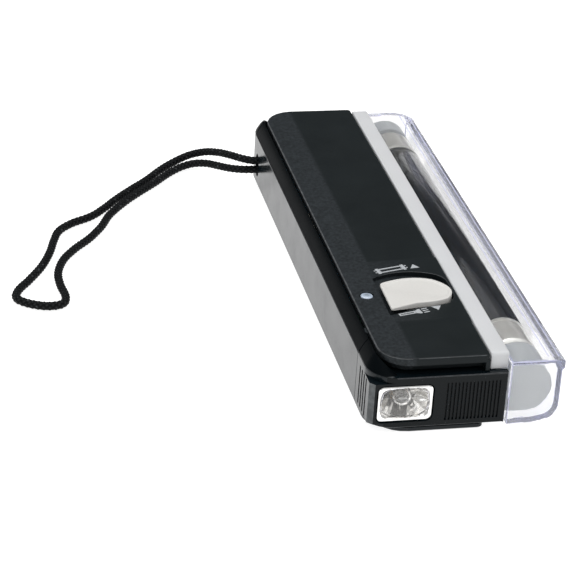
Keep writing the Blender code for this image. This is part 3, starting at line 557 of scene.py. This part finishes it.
def cut_along(bm, faces, place, normal):
    """Cut some of the faces along a plane through a place in case millimetres."""
    chosen = set(faces)
    around = [part for part in bm.verts[:] + bm.edges[:] if not chosen.isdisjoint(part.link_faces)]
    bmesh.ops.bisect_plane(bm, geom=around + faces, plane_co=row_place(place), plane_no=normal)


def long_enough(radius):
    """Edges that a rounding of this radius fits, with room at both ends."""
    reach = 2.2 * radius * MM

    def chosen(_, edge):
        for vertex in edge.verts:
            for other in vertex.link_edges:
                if is_sharp(other) and other.calc_length() < reach:
                    return False
        a, b = (vertex.co for vertex in edge.verts)
        along = (b - a).normalized()
        for face in edge.link_faces:
            offsets = (vertex.co - a for vertex in face.verts)
            if max((d - along * d.dot(along)).length for d in offsets) < 0.75 * reach:
                return False
        return True
    return chosen


def rounded_piece(node, mats, radius, finish=None):
    """A CAD piece with softened edges, painted with a paler edge copy as a painted highlight where the
    slot has one.
    """
    bm = clean_copy(node)
    bmesh.ops.triangulate(bm, faces=bm.faces[:])
    round_edges(bm, radius, long_enough(radius))
    slot = finish or SLOTS[node]
    finished(bm, node, mats[slot], mats.get(slot + "_edge", mats[slot]))


def applied(obj, *tools):
    """The piece with Boolean (operation, other) steps applied and the other shapes removed."""
    for operation, other in tools:
        modifier = obj.modifiers.new(operation.lower(), "BOOLEAN")
        modifier.operation = operation
        modifier.object = other
    bpy.context.view_layer.update()
    mesh = bpy.data.meshes.new_from_object(obj.evaluated_get(bpy.context.evaluated_depsgraph_get()))
    obj.modifiers.clear()
    obj.data = mesh
    for _, other in tools:
        bpy.data.objects.remove(other, do_unlink=True)
    return obj


def block(name, x, y, z):
    """A plain box in case millimetres, for joining and cutting."""
    bm = bmesh.new()
    low, high = (row_place(corner) for corner in zip(x, y, z))
    corners = [(low.x, low.y), (high.x, low.y), (high.x, high.y), (low.x, high.y)]
    skin(bm, [[Vector((a, b, level)) for a, b in corners] for level in (low.z, high.z)])
    return object_from(name, bm)


def circle(count):
    turns = [2 * math.pi * i / count for i in range(count)]
    return [(math.cos(turn), math.sin(turn)) for turn in turns]


def skin(bm, rings, closed=False):
    """Faces between each ring and the next, then caps, or a join from the last to the first."""
    loops = [[bm.verts.new(p) for p in ring] for ring in rings]
    pairs = list(zip(loops, loops[1:]))
    if closed:
        pairs.append((loops[-1], loops[0]))
    count = len(loops[0])
    for low, high in pairs:
        for i in range(count):
            j = (i + 1) % count
            bm.faces.new((low[i], low[j], high[j], high[i]))
    if not closed:
        bm.faces.new(loops[0])
        bm.faces.new(loops[-1])


def turned(bm, centre, profile, axis="Y", segments=96, closed=False):
    """Rings about an axis through the centre, from (radius, place) pairs in millimetres."""
    rings = []
    for radius, along in profile:
        r = max(radius, 0.001) * MM
        if axis == "Y":
            ring = [(centre.x + r * c, along * MM, centre.z + r * s) for c, s in circle(segments)]
        else:
            ring = [(centre.x + r * c, centre.y + r * s, along * MM) for c, s in circle(segments)]
        rings.append([Vector(point) for point in ring])
    skin(bm, rings, closed)


def quarter(radius, centre, start, end):
    """(radius, place) pairs round a fillet, angles in degrees."""
    points, steps = [], 10
    for i in range(steps + 1):
        a = math.radians(start + (end - start) * i / steps)
        points.append((centre[0] + radius * math.cos(a), centre[1] + radius * math.sin(a)))
    return points


# ---------------- wrist strap

CORD_DIAMETER = 2.5
# The same route as the CAD strap's, in millimetres from the case's left near corner.
STRAP_ROUTE = (
    (1.75, 148.5, 9.1), (-1.5, 148.7, 9.1), (-4.4, 150.9, 8.9), (-7.2, 155.2, 8.2),
    (-9.9, 160.3, 6.9), (-13.2, 164.9, 5.2), (-17.6, 166.9, 3.5), (-22.4, 165.5, 2.2),
    (-27.8, 161.0, 1.5), (-33.7, 153.6, 1.3), (-39.2, 147.4, 1.3), (-44.7, 140.8, 1.3),
    (-49.4, 134.4, 1.3), (-53.9, 129.4, 1.3), (-60.0, 125.3, 1.3), (-64.2, 120.6, 1.3),
    (-66.3, 114.6, 1.3), (-68.3, 107.0, 1.3), (-71.5, 98.4, 1.3), (-75.9, 90.2, 1.3),
    (-79.4, 84.4, 1.3), (-80.3, 79.8, 1.3), (-77.3, 76.4, 1.3), (-72.5, 74.4, 1.3),
    (-68.3, 75.2, 1.3), (-66.8, 79.2, 1.3), (-67.5, 86.5, 1.3), (-67.3, 94.0, 1.3),
    (-65.0, 101.8, 1.3), (-60.9, 108.6, 1.3), (-55.9, 115.0, 1.3), (-51.5, 122.4, 1.3),
    (-48.0, 130.2, 1.3), (-42.4, 138.6, 1.3), (-36.9, 145.3, 1.3), (-31.3, 151.6, 1.3),
    (-25.9, 158.2, 1.3), (-21.3, 162.2, 1.5), (-17.1, 163.4, 2.0), (-13.5, 161.2, 2.9),
    (-10.9, 157.0, 4.0), (-8.1, 152.7, 5.0), (-4.8, 149.6, 5.8), (-1.5, 148.6, 6.1),
    (1.75, 148.5, 6.1),
)


def smooth_route(step):
    """Even points, in metres, on a Catmull-Rom curve through the strap's route."""
    points = [row_place(place) for place in STRAP_ROUTE]
    ends = [points[0] * 2 - points[1]] + points + [points[-1] * 2 - points[-2]]
    fine, parts = [], 24
    for a, b, c, d in zip(ends, ends[1:], ends[2:], ends[3:]):
        for i in range(parts):
            t = i / parts
            fine.append(0.5 * ((2 * b) + (c - a) * t + (2 * a - 5 * b + 4 * c - d) * t ** 2
                               + (3 * b - a - 3 * c + d) * t ** 3))
    fine.append(points[-1])
    lengths = [0.0]
    for a, b in zip(fine, fine[1:]):
        lengths.append(lengths[-1] + (b - a).length)
    count = round(lengths[-1] / (step * MM))
    result, index = [], 0
    for i in range(count + 1):
        want = lengths[-1] * i / count
        while index < len(fine) - 2 and lengths[index + 1] < want:
            index += 1
        share = (want - lengths[index]) / (lengths[index + 1] - lengths[index])
        result.append(fine[index].lerp(fine[index + 1], share))
    return result, lengths[-1]


def braid_height(turn, along):
    """Height of the braid, 0 to 1, from the turn (0 to 1) and the place along in millimetres."""
    strands, lay = 6, 1.55
    u = turn * strands + along / lay
    v = turn * strands - along / lay
    across, run = (u % 1.0) - 0.5, (v % 1.0) - 0.5
    if (math.floor(u) + math.floor(v)) % 2:
        across, run = run, across
    return (1 - 3.2 * across ** 2) * (1 - 1.5 * run ** 2)


def make_strap(mats):
    step, sides, relief = 0.2, 36, 0.40
    points, length = smooth_route(step)
    side = Vector((0, 0, 1))
    rings = []
    for index, point in enumerate(points):
        before, after = points[max(index - 1, 0)], points[min(index + 1, len(points) - 1)]
        tangent = (after - before).normalized()
        side = (side - tangent * side.dot(tangent)).normalized()
        other = tangent.cross(side)
        ring = []
        for j in range(sides):
            turn = j / sides
            angle = 2 * math.pi * turn
            radius = CORD_DIAMETER / 2 - relief * (1 - braid_height(turn, index * step))
            ring.append(point + (side * math.cos(angle) + other * math.sin(angle)) * radius * MM)
        rings.append(ring)
    bm = bmesh.new()
    skin(bm, rings)
    strap = stands_for(object_from("wrist_strap", bm, sharp=180), "strap_cord", mats["black_braid"])
    path = [tuple(p) for p in points[::5]]
    if path[-1] != tuple(points[-1]):
        path.append(tuple(points[-1]))


# ---------------- case

def make_case(mats):
    make_body_shell(mats)
    make_head_cap(mats)
    rounded_piece("side_rail", mats, 0.16, finish="black_shoulder")
    for node, radius in (("battery_door", 0.20), ("lamp_holder_near", 0.30), ("lamp_holder_far", 0.30)):
        rounded_piece(node, mats, radius)
    make_clear_cover(mats)
    make_lamp_tray(mats)
    make_top_cover(mats)


def paint_shoulder(bm, index):
    """The sloping shoulder above the ledge has its own finish."""
    for face in bm.faces:
        if face.calc_center_median().z > (SHELL_LEDGE + 0.2) * MM and face.normal.z > 0.2:
            face.material_index = index


def round_corner(place, y):
    """On the round part of a corner whose centre is at this y."""
    return math.hypot(place.x - CORNER_RADIUS, place.y - y) > CORNER_RADIUS - 0.1


def make_body_shell(mats):
    """The wall's upper and lower edges are rounded, and so is the rim of the strap's slot."""
    ledge_end, corner_y = 152.0, 160.0 - CORNER_RADIUS

    def outer(place, _):
        in_corner = place.x < CORNER_RADIUS and place.y > corner_y and round_corner(place, corner_y)
        at_ledge = abs(place.z - SHELL_LEDGE) < TOUCH and place.y < ledge_end
        return (place.x < TOUCH or in_corner) and (abs(place.z - SHELL_BOTTOM) < TOUCH or at_ledge)

    def slot_rim(place, _):
        return place.x < TOUCH and 144 < place.y < 152.5 and 3 < place.z < 12

    bm = clean_copy("body_shell")
    paint_shoulder(bm, 2)
    round_edges(bm, 0.35, outer)
    round_edges(bm, 0.25, slot_rim)
    finished(bm, "body_shell", mats["black_case"], mats["black_case_edge"], mats["black_shoulder"])


def make_head_cap(mats):
    """The torch corner's chamfer is painted pale grey as a painted highlight; the finger grooves keep
    crisp edges.
    """
    right, back = 35.9, 14.2

    def outline(place, _):
        at_bottom, at_ledge = (abs(place.z - z) < TOUCH for z in (SHELL_BOTTOM, SHELL_LEDGE))
        front = place.y < TOUCH and CORNER_RADIUS < place.x < right
        side = place.x < TOUCH and place.y < back
        curve = max(place.x, place.y) < CORNER_RADIUS and round_corner(place, CORNER_RADIUS)
        return (at_bottom and (front or side or curve)) or (at_ledge and front)

    bm = clean_copy("head_cap")
    paint_shoulder(bm, 3)
    for face in bm.faces:
        normal, middle = face.normal, case_place(face.calc_center_median())
        diagonal = normal.x < -0.6 and normal.y < -0.6
        # Painted highlight: the large chamfer faces take a pale copy of the plastic.
        if diagonal and 3 < middle.z < 14.6 and face.calc_area() > 5 * MM ** 2:
            face.material_index = 2
        elif normal.y < -0.9:
            face.material_index = 4
    round_edges(bm, 0.30, outline)
    finished(bm, "head_cap", mats["black_case"], mats["black_case_edge"], mats["corner_highlight"],
             mats["black_shoulder"], mats["black_front"])


def make_top_cover(mats):
    """The crease turns over a narrow band, and the rim is rounded."""
    band, rim, left_rim = 0.8, 20.3, 20.0
    bm = clean_copy("top_cover")
    for offset in (-band, -band / 2, band / 2, band):
        cut_along(bm, bm.faces[:], (CREASE_X + offset, 0, 0), (1, 0, 0))
    for vertex in bm.verts:
        across = case_place(vertex.co).x - CREASE_X
        if vertex.co.z > rim * MM and abs(across) < band:
            vertex.co.z -= CREASE_SLOPE * (band - abs(across)) ** 2 / (4 * band) * MM
    # Painted highlight: the rounding of the left rim takes a pale copy of the cover plastic.
    round_edges(bm, 0.24, lambda place, _: place.z > left_rim and place.x < 3.5, material=2)
    round_edges(bm, 0.14, lambda place, edge: place.z > rim and place.x > 3.0
                and edge.calc_length() > 0.6 * MM)
    finished(bm, "top_cover", mats["black_cover"], mats["black_cover_edge"], mats["cover_left_rim_highlight"])


def make_clear_cover(mats):
    """Clear cap: rounded edges and three fine lines along its top, half opaque and pale violet as painted
    light for the bright streaks of light carried through the acrylic, and a satin underside.
    """
    under_top, radius, near, far = 18.8, 0.27, 2.0, 158.0
    across, upward = (1, 0, 0), (0, 0, 1)
    bm = clean_copy("lamp_cover")
    # Cut into strips, so that the triangles don't fan out across whole walls.
    for x in (38.5, 41.0, 43.5, 46.0, 48.0):
        cut_along(bm, bm.faces[:], (x, 80, 0), across)
    for z in (8.0, 11.0, 14.0):
        cut_along(bm, bm.faces[:], (0, 80, z), upward)
    bmesh.ops.triangulate(bm, faces=bm.faces[:])
    round_edges(bm, radius, long_enough(radius))
    lines = ((46.6, 0.18), (47.9, 0.14), (49.3, 0.20))
    cuts = [((0, y, 0), (0, 1, 0)) for y in (near, far)]
    cuts += [((middle + side * half, 0, 0), across) for middle, half in lines for side in (-1, 1)]
    for place, normal in cuts:
        plate = [face for face in bm.faces
                 if face.normal.z > 0.99 and face.calc_center_median().z > under_top * MM]
        cut_along(bm, plate, place, normal)
    # Painted reflection: the three lines along the top take the half opaque pale violet edge material.
    for face in bm.faces:
        x, y, z = case_place(face.calc_center_median())
        on_line = any(abs(x - middle) < half for middle, half in lines)
        if on_line and face.normal.z > 0.9 and z > under_top and near < y < far:
            face.material_index = 1
        elif face.normal.z < -0.2 and z < 8 and face.material_index == 0:
            face.material_index = 2
    finished(bm, "lamp_cover", mats["clear_acrylic"], mats["clear_acrylic_edge"], mats["satin_acrylic"])


def make_lamp_tray(mats):
    """Light strip with softly rounded ends, standing on its wall and floor beside the case."""
    low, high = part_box("lamp_tray")
    strip_left, strip_right = low.x / MM, high.x / MM
    near, far, top = low.y / MM, high.y / MM, high.z / MM
    foot, fillet, end_round = 16.4, 0.5, 1.1

    def section(drop, draw):
        """Strip outline lowered and drawn in where it turns over its ends."""
        left, right, crown = strip_left + draw, strip_right - draw, top - drop
        points = [(left, foot), (right, foot)]
        for quadrant, centre in enumerate((right - fillet, left + fillet)):
            for i in range(6):
                a = math.pi / 2 * (quadrant + i / 5)
                points.append((centre + fillet * math.cos(a), crown - fillet + fillet * math.sin(a)))
        return points

    stations = []
    for i in range(9):
        a = math.pi / 2 * i / 8
        stations.append((end_round * (1 - math.cos(a)), end_round * (1 - math.sin(a)),
                         0.25 * (1 - math.sin(a))))
    levels = [(near + along, drop, draw) for along, drop, draw in stations]
    levels += [(far - along, drop * 0.5, draw) for along, drop, draw in reversed(stations)]
    bm = bmesh.new()
    skin(bm, [[Vector((x * MM, y * MM, z * MM)) for x, z in section(drop, draw)]
              for y, drop, draw in levels])
    tray = object_from("lamp_tray_finished", bm)
    wall = block("tray_wall", (31.7, 32.4), (2.2, 157.9), (2.0, 17.5))
    floor = block("tray_floor", (31.75, 36.2), (2.25, 157.85), (1.65, 2.45))
    applied(tray, ("UNION", wall), ("UNION", floor))
    stands_for(tray, "lamp_tray", mats["light_strip"])


# ---------------- lamp

def make_lamp(mats):
    low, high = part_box("lamp_glass")
    centre = (low + high) / 2
    radius = (high.z - low.z) / 2 / MM
    start, end = low.y / MM, high.y / MM
    bm = bmesh.new()
    turned(bm, centre, ((radius - 0.9, start + 0.02), (radius - 0.15, start), (radius, start + 0.2),
                        (radius, end - 0.2), (radius - 0.15, end), (radius - 0.9, end - 0.02)),
           closed=True)
    stands_for(object_from("lamp_glass_finished", bm), "lamp_glass", mats["blacklight_glass"])
    for name, side in (("near", 1), ("far", -1)):
        make_lamp_cap(name, side, mats)


def make_lamp_cap(name, side, mats):
    node = f"lamp_cap_{name}"
    low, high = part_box(node)
    centre = (low + high) / 2
    radius = (high.z - low.z) / 2 / MM
    face = (low.y if side > 0 else high.y) / MM
    depth = (high.y - low.y) / MM
    shoulder = 1.9
    outline = [(0.0, 0.35), (5.0, 0.35), (5.25, 0.05), (5.7, 0.05), (5.8, 0.4)]
    outline += quarter(shoulder, (radius - shoulder, 0.45 + shoulder), -90, 0)
    outline += [(radius, depth - 1.6), (radius - 0.22, depth - 1.45), (radius - 0.22, depth - 1.15),
                (radius + 0.10, depth - 0.95), (radius + 0.14, depth - 0.5), (radius + 0.05, depth - 0.1),
                (radius - 0.3, depth), (0.0, depth)]
    bm = bmesh.new()
    turned(bm, centre, [(r, face + side * d) for r, d in outline])
    stands_for(object_from(node + "_finished", bm, sharp=50), node, mats["lamp_cap_metal"])


# ---------------- torch

def make_torch(mats):
    """Bright bezel with a fluted oval bowl, its window and the bulb."""
    low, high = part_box("torch_reflector")
    middle = (low + high) / 2
    front, back = low.y, high.y
    half_x, half_z = (high.x - low.x) / 2, (high.z - low.z) / 2
    sides, flutes = 72, 12

    def at(depth):
        return front + depth * MM

    def frame_ring(inset, y):
        """Rounded rectangle, one point for each of the ring's directions."""
        ring = []
        hx, hz, r = half_x - inset, half_z - inset, max(1.5 * MM - inset, 0.2 * MM)
        for quadrant, (sx, sz) in enumerate(((1, 1), (-1, 1), (-1, -1), (1, -1))):
            for i in range(sides // 4):
                a = math.pi / 2 * (quadrant + i / (sides // 4 - 1))
                ring.append(Vector((middle.x + sx * (hx - r) + r * math.cos(a), y,
                                    middle.z + sz * (hz - r) + r * math.sin(a))))
        return ring

    def bowl_ring(a, b, y, squareness, flat):
        """Squarish oval, drawn toward a polygon of flutes by the flat share."""
        def place(angle):
            c, s = math.cos(angle), math.sin(angle)
            return Vector((a * math.copysign(abs(c) ** (2 / squareness), c),
                           b * math.copysign(abs(s) ** (2 / squareness), s)))
        ring = []
        each = sides // flutes
        for i in range(sides):
            start, end = (2 * math.pi * (i // each + k) / flutes for k in (0, 1))
            chord = place(start).lerp(place(end), (i % each) / each)
            x, z = place(2 * math.pi * i / sides).lerp(chord, flat)
            ring.append(Vector((bowl.x + x * MM, y, bowl.z + z * MM)))
        return ring

    bulb_low, bulb_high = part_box("torch_bulb")
    bowl = (bulb_low + bulb_high) / 2
    rings = [frame_ring(0.0, back), frame_ring(0.0, at(0.35)), frame_ring(0.12 * MM, at(0.12)),
             frame_ring(0.38 * MM, at(0.0)),
             bowl_ring(6.62, 4.50, at(0.0), 4.2, 0), bowl_ring(6.50, 4.42, at(0.15), 4.0, 0.2),
             bowl_ring(6.32, 4.36, at(0.8), 3.2, 1), bowl_ring(5.85, 4.25, at(1.8), 2.6, 1),
             bowl_ring(5.05, 3.90, at(3.0), 2.2, 1), bowl_ring(4.20, 3.55, at(4.2), 2.0, 1),
             bowl_ring(3.30, 3.10, at(5.2), 2.0, 1), bowl_ring(2.75, 2.75, at(5.8), 2.0, 1),
             bowl_ring(2.75, 2.75, back, 2.0, 1)]
    bm = bmesh.new()
    skin(bm, rings, closed=True)
    # Painted shade: the deep inside of the bowl takes a darker, browner metal than the bezel.
    bm.normal_update()
    for face in bm.faces:
        spot = face.calc_center_median()
        deep = spot.y > at(0.2)
        inside = abs(spot.x - bowl.x) < 6.5 * MM and abs(spot.z - bowl.z) < 4.65 * MM
        face.material_index = int(deep and inside)
    stands_for(object_from("torch_reflector_finished", bm, sharp=17), "torch_reflector",
               mats["bright_sheet"], mats["shaded_bowl_sheet"])

    bm = bmesh.new()
    skin(bm, [bowl_ring(6.10, 4.18, at(depth), 3.2, 1) for depth in (0.45, 1.05)])
    stands_for(object_from("torch_lens_finished", bm), "torch_lens", mats["clear_acrylic"])

    radius, glass = (bulb_high.x - bulb_low.x) / 2 / MM, 0.35
    tip, root = bulb_low.y / MM, bulb_high.y / MM
    dome = quarter(radius, (0.0, tip + radius), -90, 0)
    inner = quarter(radius - glass, (0.0, tip + radius + 0.1), 0, -90)
    bm = bmesh.new()
    turned(bm, bowl, dome + [(radius, root), (radius - glass, root)] + inner, segments=48)
    stands_for(object_from("torch_bulb_finished", bm), "torch_bulb", mats["bulb_glass"])
    make_bulb_inside(mats, bowl, tip, root)


def make_bulb_inside(mats, axis, tip, root):
    """Bead, two posts and a coiled filament inside the bulb."""
    bm = bmesh.new()
    turned(bm, axis, ((0.0, root - 0.2), (1.72, root - 0.2), (1.80, tip + 3.3), (1.62, tip + 2.8),
                      (1.10, tip + 2.4), (0.0, tip + 2.3)), segments=40)
    for face in bm.faces:
        face.material_index = 1
    for side in (-1, 1):
        post = axis + Vector((side * 0.85 * MM, 0, 0))
        turned(bm, post, ((0.0, tip + 2.6), (0.22, tip + 2.6), (0.22, tip + 1.3), (0.0, tip + 1.3)),
               segments=12)
    rings = []
    coils, steps = 7, 84
    for i in range(steps + 1):
        a = 2 * math.pi * coils * i / steps
        x = (-0.66 + 1.32 * i / steps) * MM
        outward = Vector((0, math.cos(a), math.sin(a)))
        centre = Vector((axis.x + x, (tip + 1.45) * MM, axis.z)) + outward * 0.30 * MM
        rings.append([centre + (outward * c + Vector((1, 0, 0)) * s) * 0.07 * MM
                      for c, s in circle(6)])
    skin(bm, rings)
    inside = object_from("bulb_inside", bm)
    inside.data.materials.append(mats["sheet_steel"])
    inside.data.materials.append(mats["glass_bead"])
    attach(inside, NODES["torch_bulb"]["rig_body"])


# ---------------- switch and indicator

def bowed(a, b, c, steps):
    """Points on a smooth curve from a to c that passes through b half-way."""
    a, b, c = Vector(a), Vector(b), Vector(c)
    handle = 2 * b - (a + c) / 2
    return [(1 - t) ** 2 * a + 2 * t * (1 - t) * handle + t * t * c
            for t in (i / steps for i in range(steps + 1))]


def softened(corners, passes):
    """Closed outline resampled evenly, with its corners rounded."""
    points, spacing = [], 0.2
    for a, b in zip(corners, corners[1:] + corners[:1]):
        count = max(1, round((b - a).length / spacing))
        points += [a.lerp(b, i / count) for i in range(count)]
    for _ in range(passes):
        points = [(points[i - 1] + 2 * p + points[(i + 1) % len(points)]) / 4
                  for i, p in enumerate(points)]
    return points


def drawn_in(points, middle, distance):
    """The same outline moved toward its middle."""
    return [point + (middle - point).normalized() * distance for point in points]


def make_knob(mats):
    """Shield-shaped slide knob: a plate that thickens to the right, with a step inside its far edge."""
    under, top, rim = 20.3, 22.45, 0.36
    corners = [Vector((11.02, 24.65))] + bowed((18.6, 27.5), (23.5, 27.95), (27.3, 29.3), 8)
    corners += bowed((27.3, 29.3), (29.47, 34.4), (26.4, 39.8), 14)[1:]
    corners += bowed((26.4, 39.8), (19.5, 41.55), (11.2, 39.1), 12)[1:]
    outline, soft = softened(corners, 14), softened(corners, 60)
    middle = sum(soft, Vector((0, 0))) / len(soft)

    def ring(points, level, step=0.0):
        """The outline at a level, lowered by the step beyond a slanting line across the knob."""
        loop = []
        for point in points:
            share = min(max((0.45 * (point.x - 11) + point.y - 33.6) / 4, 0), 1)
            loop.append(row_place((*point, level - step * share)))
        return loop

    thinner = [1.5 * min(max((23 - point.x) / 11.5, 0), 1) for point in outline]
    lowest = [point + Vector((0, 0, lift * MM)) for point, lift in zip(ring(outline, under), thinner)]
    rings = [lowest, ring(outline, top - rim)]
    for i in range(1, 7):
        a = math.pi / 2 * i / 6
        edge = drawn_in(outline, middle, rim * (1 - math.cos(a)))
        rings.append(ring(edge, top - rim + rim * math.sin(a)))
    for inset, step in ((0.80, 0.0), (0.90, 0.04), (0.98, 0.13), (1.10, 0.16)):
        rings.append(ring(drawn_in(soft, middle, inset), top, step))
    field = drawn_in(soft, middle, 1.10)
    for size in (0.9, 0.7, 0.4, 0.02):
        rings.append(ring([middle + (p - middle) * size for p in field], top - 0.05 * (1 - size), 0.16))
    bm = bmesh.new()
    skin(bm, rings)
    knob = object_from("switch_knob_finished", bm, sharp=60)
    stem = block("stem", (16.6, 21.4), (28.2, 31.8), (18.6, 21.6))
    fork = block("fork", (17.7, 20.3), (29.05, 30.95), (17.0, 20.1))
    applied(knob, ("UNION", stem), ("DIFFERENCE", fork))
    stands_for(knob, "switch_knob", mats["cream_plastic"])


def field_height(x):
    """Level of the cover's raised switch field, which climbs away from the crease."""
    start, rise, run = 20.92, 0.58, 19.5
    return start + rise * (x - CREASE_X) / run


def add_print(bm, outline, centre, turn, hole=None):
    """A raised ink shape on the cover's switch field, optionally an open ring."""
    c, s = math.cos(turn), math.sin(turn)

    def loop(points, height):
        result = []
        for px, py in points:
            x, y = centre[0] + c * px - s * py, centre[1] + s * px + c * py
            result.append(row_place((x, y, field_height(x) + height)))
        return result

    sunk, raised = -0.06, 0.03
    rings = [loop(outline, sunk), loop(outline, raised)]
    if hole:
        rings += [loop(hole, raised), loop(hole, sunk)]
    skin(bm, rings, closed=bool(hole))


def bar(x0, x1, y0, y1):
    return [(x0, y0), (x1, y0), (x1, y1), (x0, y1)]


def make_print(mats):
    """White pictograms: a tube with an arrow away from the torch, a torch with an arrow toward it."""
    turn = math.radians(11.5)
    bm = bmesh.new()
    tube, arrow = (16.9, 49.3), (23.5, 49.9)
    add_print(bm, bar(-3.2, 3.2, -1.15, 1.15), tube, turn, hole=bar(-3.0, 3.0, -0.6, 0.6))
    for side in (-1, 1):
        add_print(bm, bar(*sorted((side * 3.25, side * 4.1)), -1.5, 1.5), tube, turn)
        for pin in (-0.6, 0.6):
            add_print(bm, bar(*sorted((side * 4.2, side * 4.75)), pin - 0.2, pin + 0.2), tube, turn)
    add_print(bm, [(-1.25, -0.85), (1.25, -0.85), (0.0, 1.4)], arrow, math.radians(4))
    torch, arrow = (16.8, 24.65), (23.6, 26.2)
    add_print(bm, bar(-4.0, 0.6, -0.62, 0.62), torch, turn, hole=bar(-3.55, 0.2, -0.2, 0.2))
    add_print(bm, [(0.7, -0.62), (1.7, -1.15), (2.25, -1.15), (2.25, 1.15), (1.7, 1.15), (0.7, 0.62)],
              torch, turn)
    for ray in (-0.95, 0.0, 0.95):
        add_print(bm, bar(2.7, 4.3, ray - 0.2, ray + 0.2), torch, turn)
    add_print(bm, [(-1.35, 1.0), (0.0, -1.15), (1.35, 1.0)], arrow, math.radians(5))
    marks = object_from("switch_marks", bm)
    marks.data.materials.append(mats["white_ink"])
    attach(marks, "case")


def make_indicator(mats):
    low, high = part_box("indicator_lens")
    centre = (low + high) / 2
    radius, bottom = (high.x - low.x) / 2 / MM, low.z / MM
    dome = 0.40
    shoulder = high.z / MM - 0.02 - dome
    outline = [(0.0, bottom), (radius, bottom), (radius, shoulder)]
    outline += [(radius * math.cos(math.radians(a)), shoulder + dome * math.sin(math.radians(a)))
                for a in range(10, 90, 10)]
    outline.append((0.0, shoulder + dome))
    bm = bmesh.new()
    turned(bm, centre, outline, axis="Z", segments=64)
    stands_for(object_from("indicator_lens_finished", bm), "indicator_lens", mats["indicator_epoxy"])


# ---------------- the rest

def paint_other_nodes(mats):
    for node, obj in NODES.items():
        if obj.hide_render:
            continue
        obj.data.materials.clear()
        obj.data.materials.append(mats[SLOTS[node]])


# ---------------- studio

def make_floor():
    """White sweep, partly lit from below so that it stays pale under the object."""
    bm = bmesh.new()
    bmesh.ops.create_grid(bm, x_segments=8, y_segments=8, size=6.0)
    floor = object_from("floor", bm)
    floor.location.z = -0.0001
    material, tree, shader = new_material("white_sweep", (0.42, 0.42, 0.42), 0.75)
    shader.inputs["Emission Color"].default_value = (1, 1, 1, 1)
    shader.inputs["Emission Strength"].default_value = 0.90
    shade = noise_of(tree, place_of(tree), 0.004, 3.0)
    feed(shader, "Base Color", ramp_of(tree, shade, ((0.3, 0.41), (0.7, 0.43))))
    floor.data.materials.append(material)


def make_world():
    """White room with a dark screen behind the object, the part that the black top reflects."""
    screen = Vector((0.200, 0.868, 0.454)).normalized()
    world = bpy.data.worlds.new("studio")
    world.use_nodes = True
    tree = world.node_tree
    background = tree.nodes["Background"]
    background.inputs["Strength"].default_value = 4.0
    coordinates = tree.nodes.new("ShaderNodeTexCoord")
    toward = tree.nodes.new("ShaderNodeVectorMath")
    toward.operation = "DOT_PRODUCT"
    toward.inputs[1].default_value = screen
    tree.links.new(coordinates.outputs["Generated"], toward.inputs[0])
    room = ramp_of(tree, toward.outputs["Value"], ((0.20, 0.13), (0.66, 0.20), (0.86, 0.016)))
    height = axes_of(tree, coordinates.outputs["Generated"])["Z"]
    overhead = ramp_of(tree, height, ((0.64, 0.0), (0.80, 0.25), (0.95, 0.36)))
    room = mix_of(tree, 1.0, room, overhead, "ADD")
    seen = tree.nodes.new("ShaderNodeLightPath").outputs["Is Camera Ray"]
    feed(background, "Color", mix_of(tree, seen, room, (0.26, 0.26, 0.26)))
    bpy.context.scene.world = world


def make_lights():
    """One broad soft box overhead, a little behind the object."""
    data = bpy.data.lights.new("soft_box", "AREA")
    data.shape = "RECTANGLE"
    data.size, data.size_y = 0.9, 0.7
    data.energy = 2.2
    light = placed("soft_box", data)
    light.location = (-0.15, 0.35, 0.95)
    light.rotation_mode = "QUATERNION"
    light.rotation_quaternion = (-light.location).to_track_quat("-Z", "Y")


def let_light_travel():
    """Light runs down the clear walls by many reflections before it leaves their edges."""
    cycles = bpy.context.scene.cycles
    cycles.max_bounces = 96
    cycles.glossy_bounces = 80
    cycles.transmission_bounces = 96


make_camera()
bpy.context.scene.view_settings.view_transform = "Standard"
let_light_travel()
materials = make_materials()
make_strap(materials)
make_case(materials)
make_lamp(materials)
make_torch(materials)
make_knob(materials)
make_print(materials)
make_indicator(materials)
paint_other_nodes(materials)
make_floor()
make_world()
make_lights()
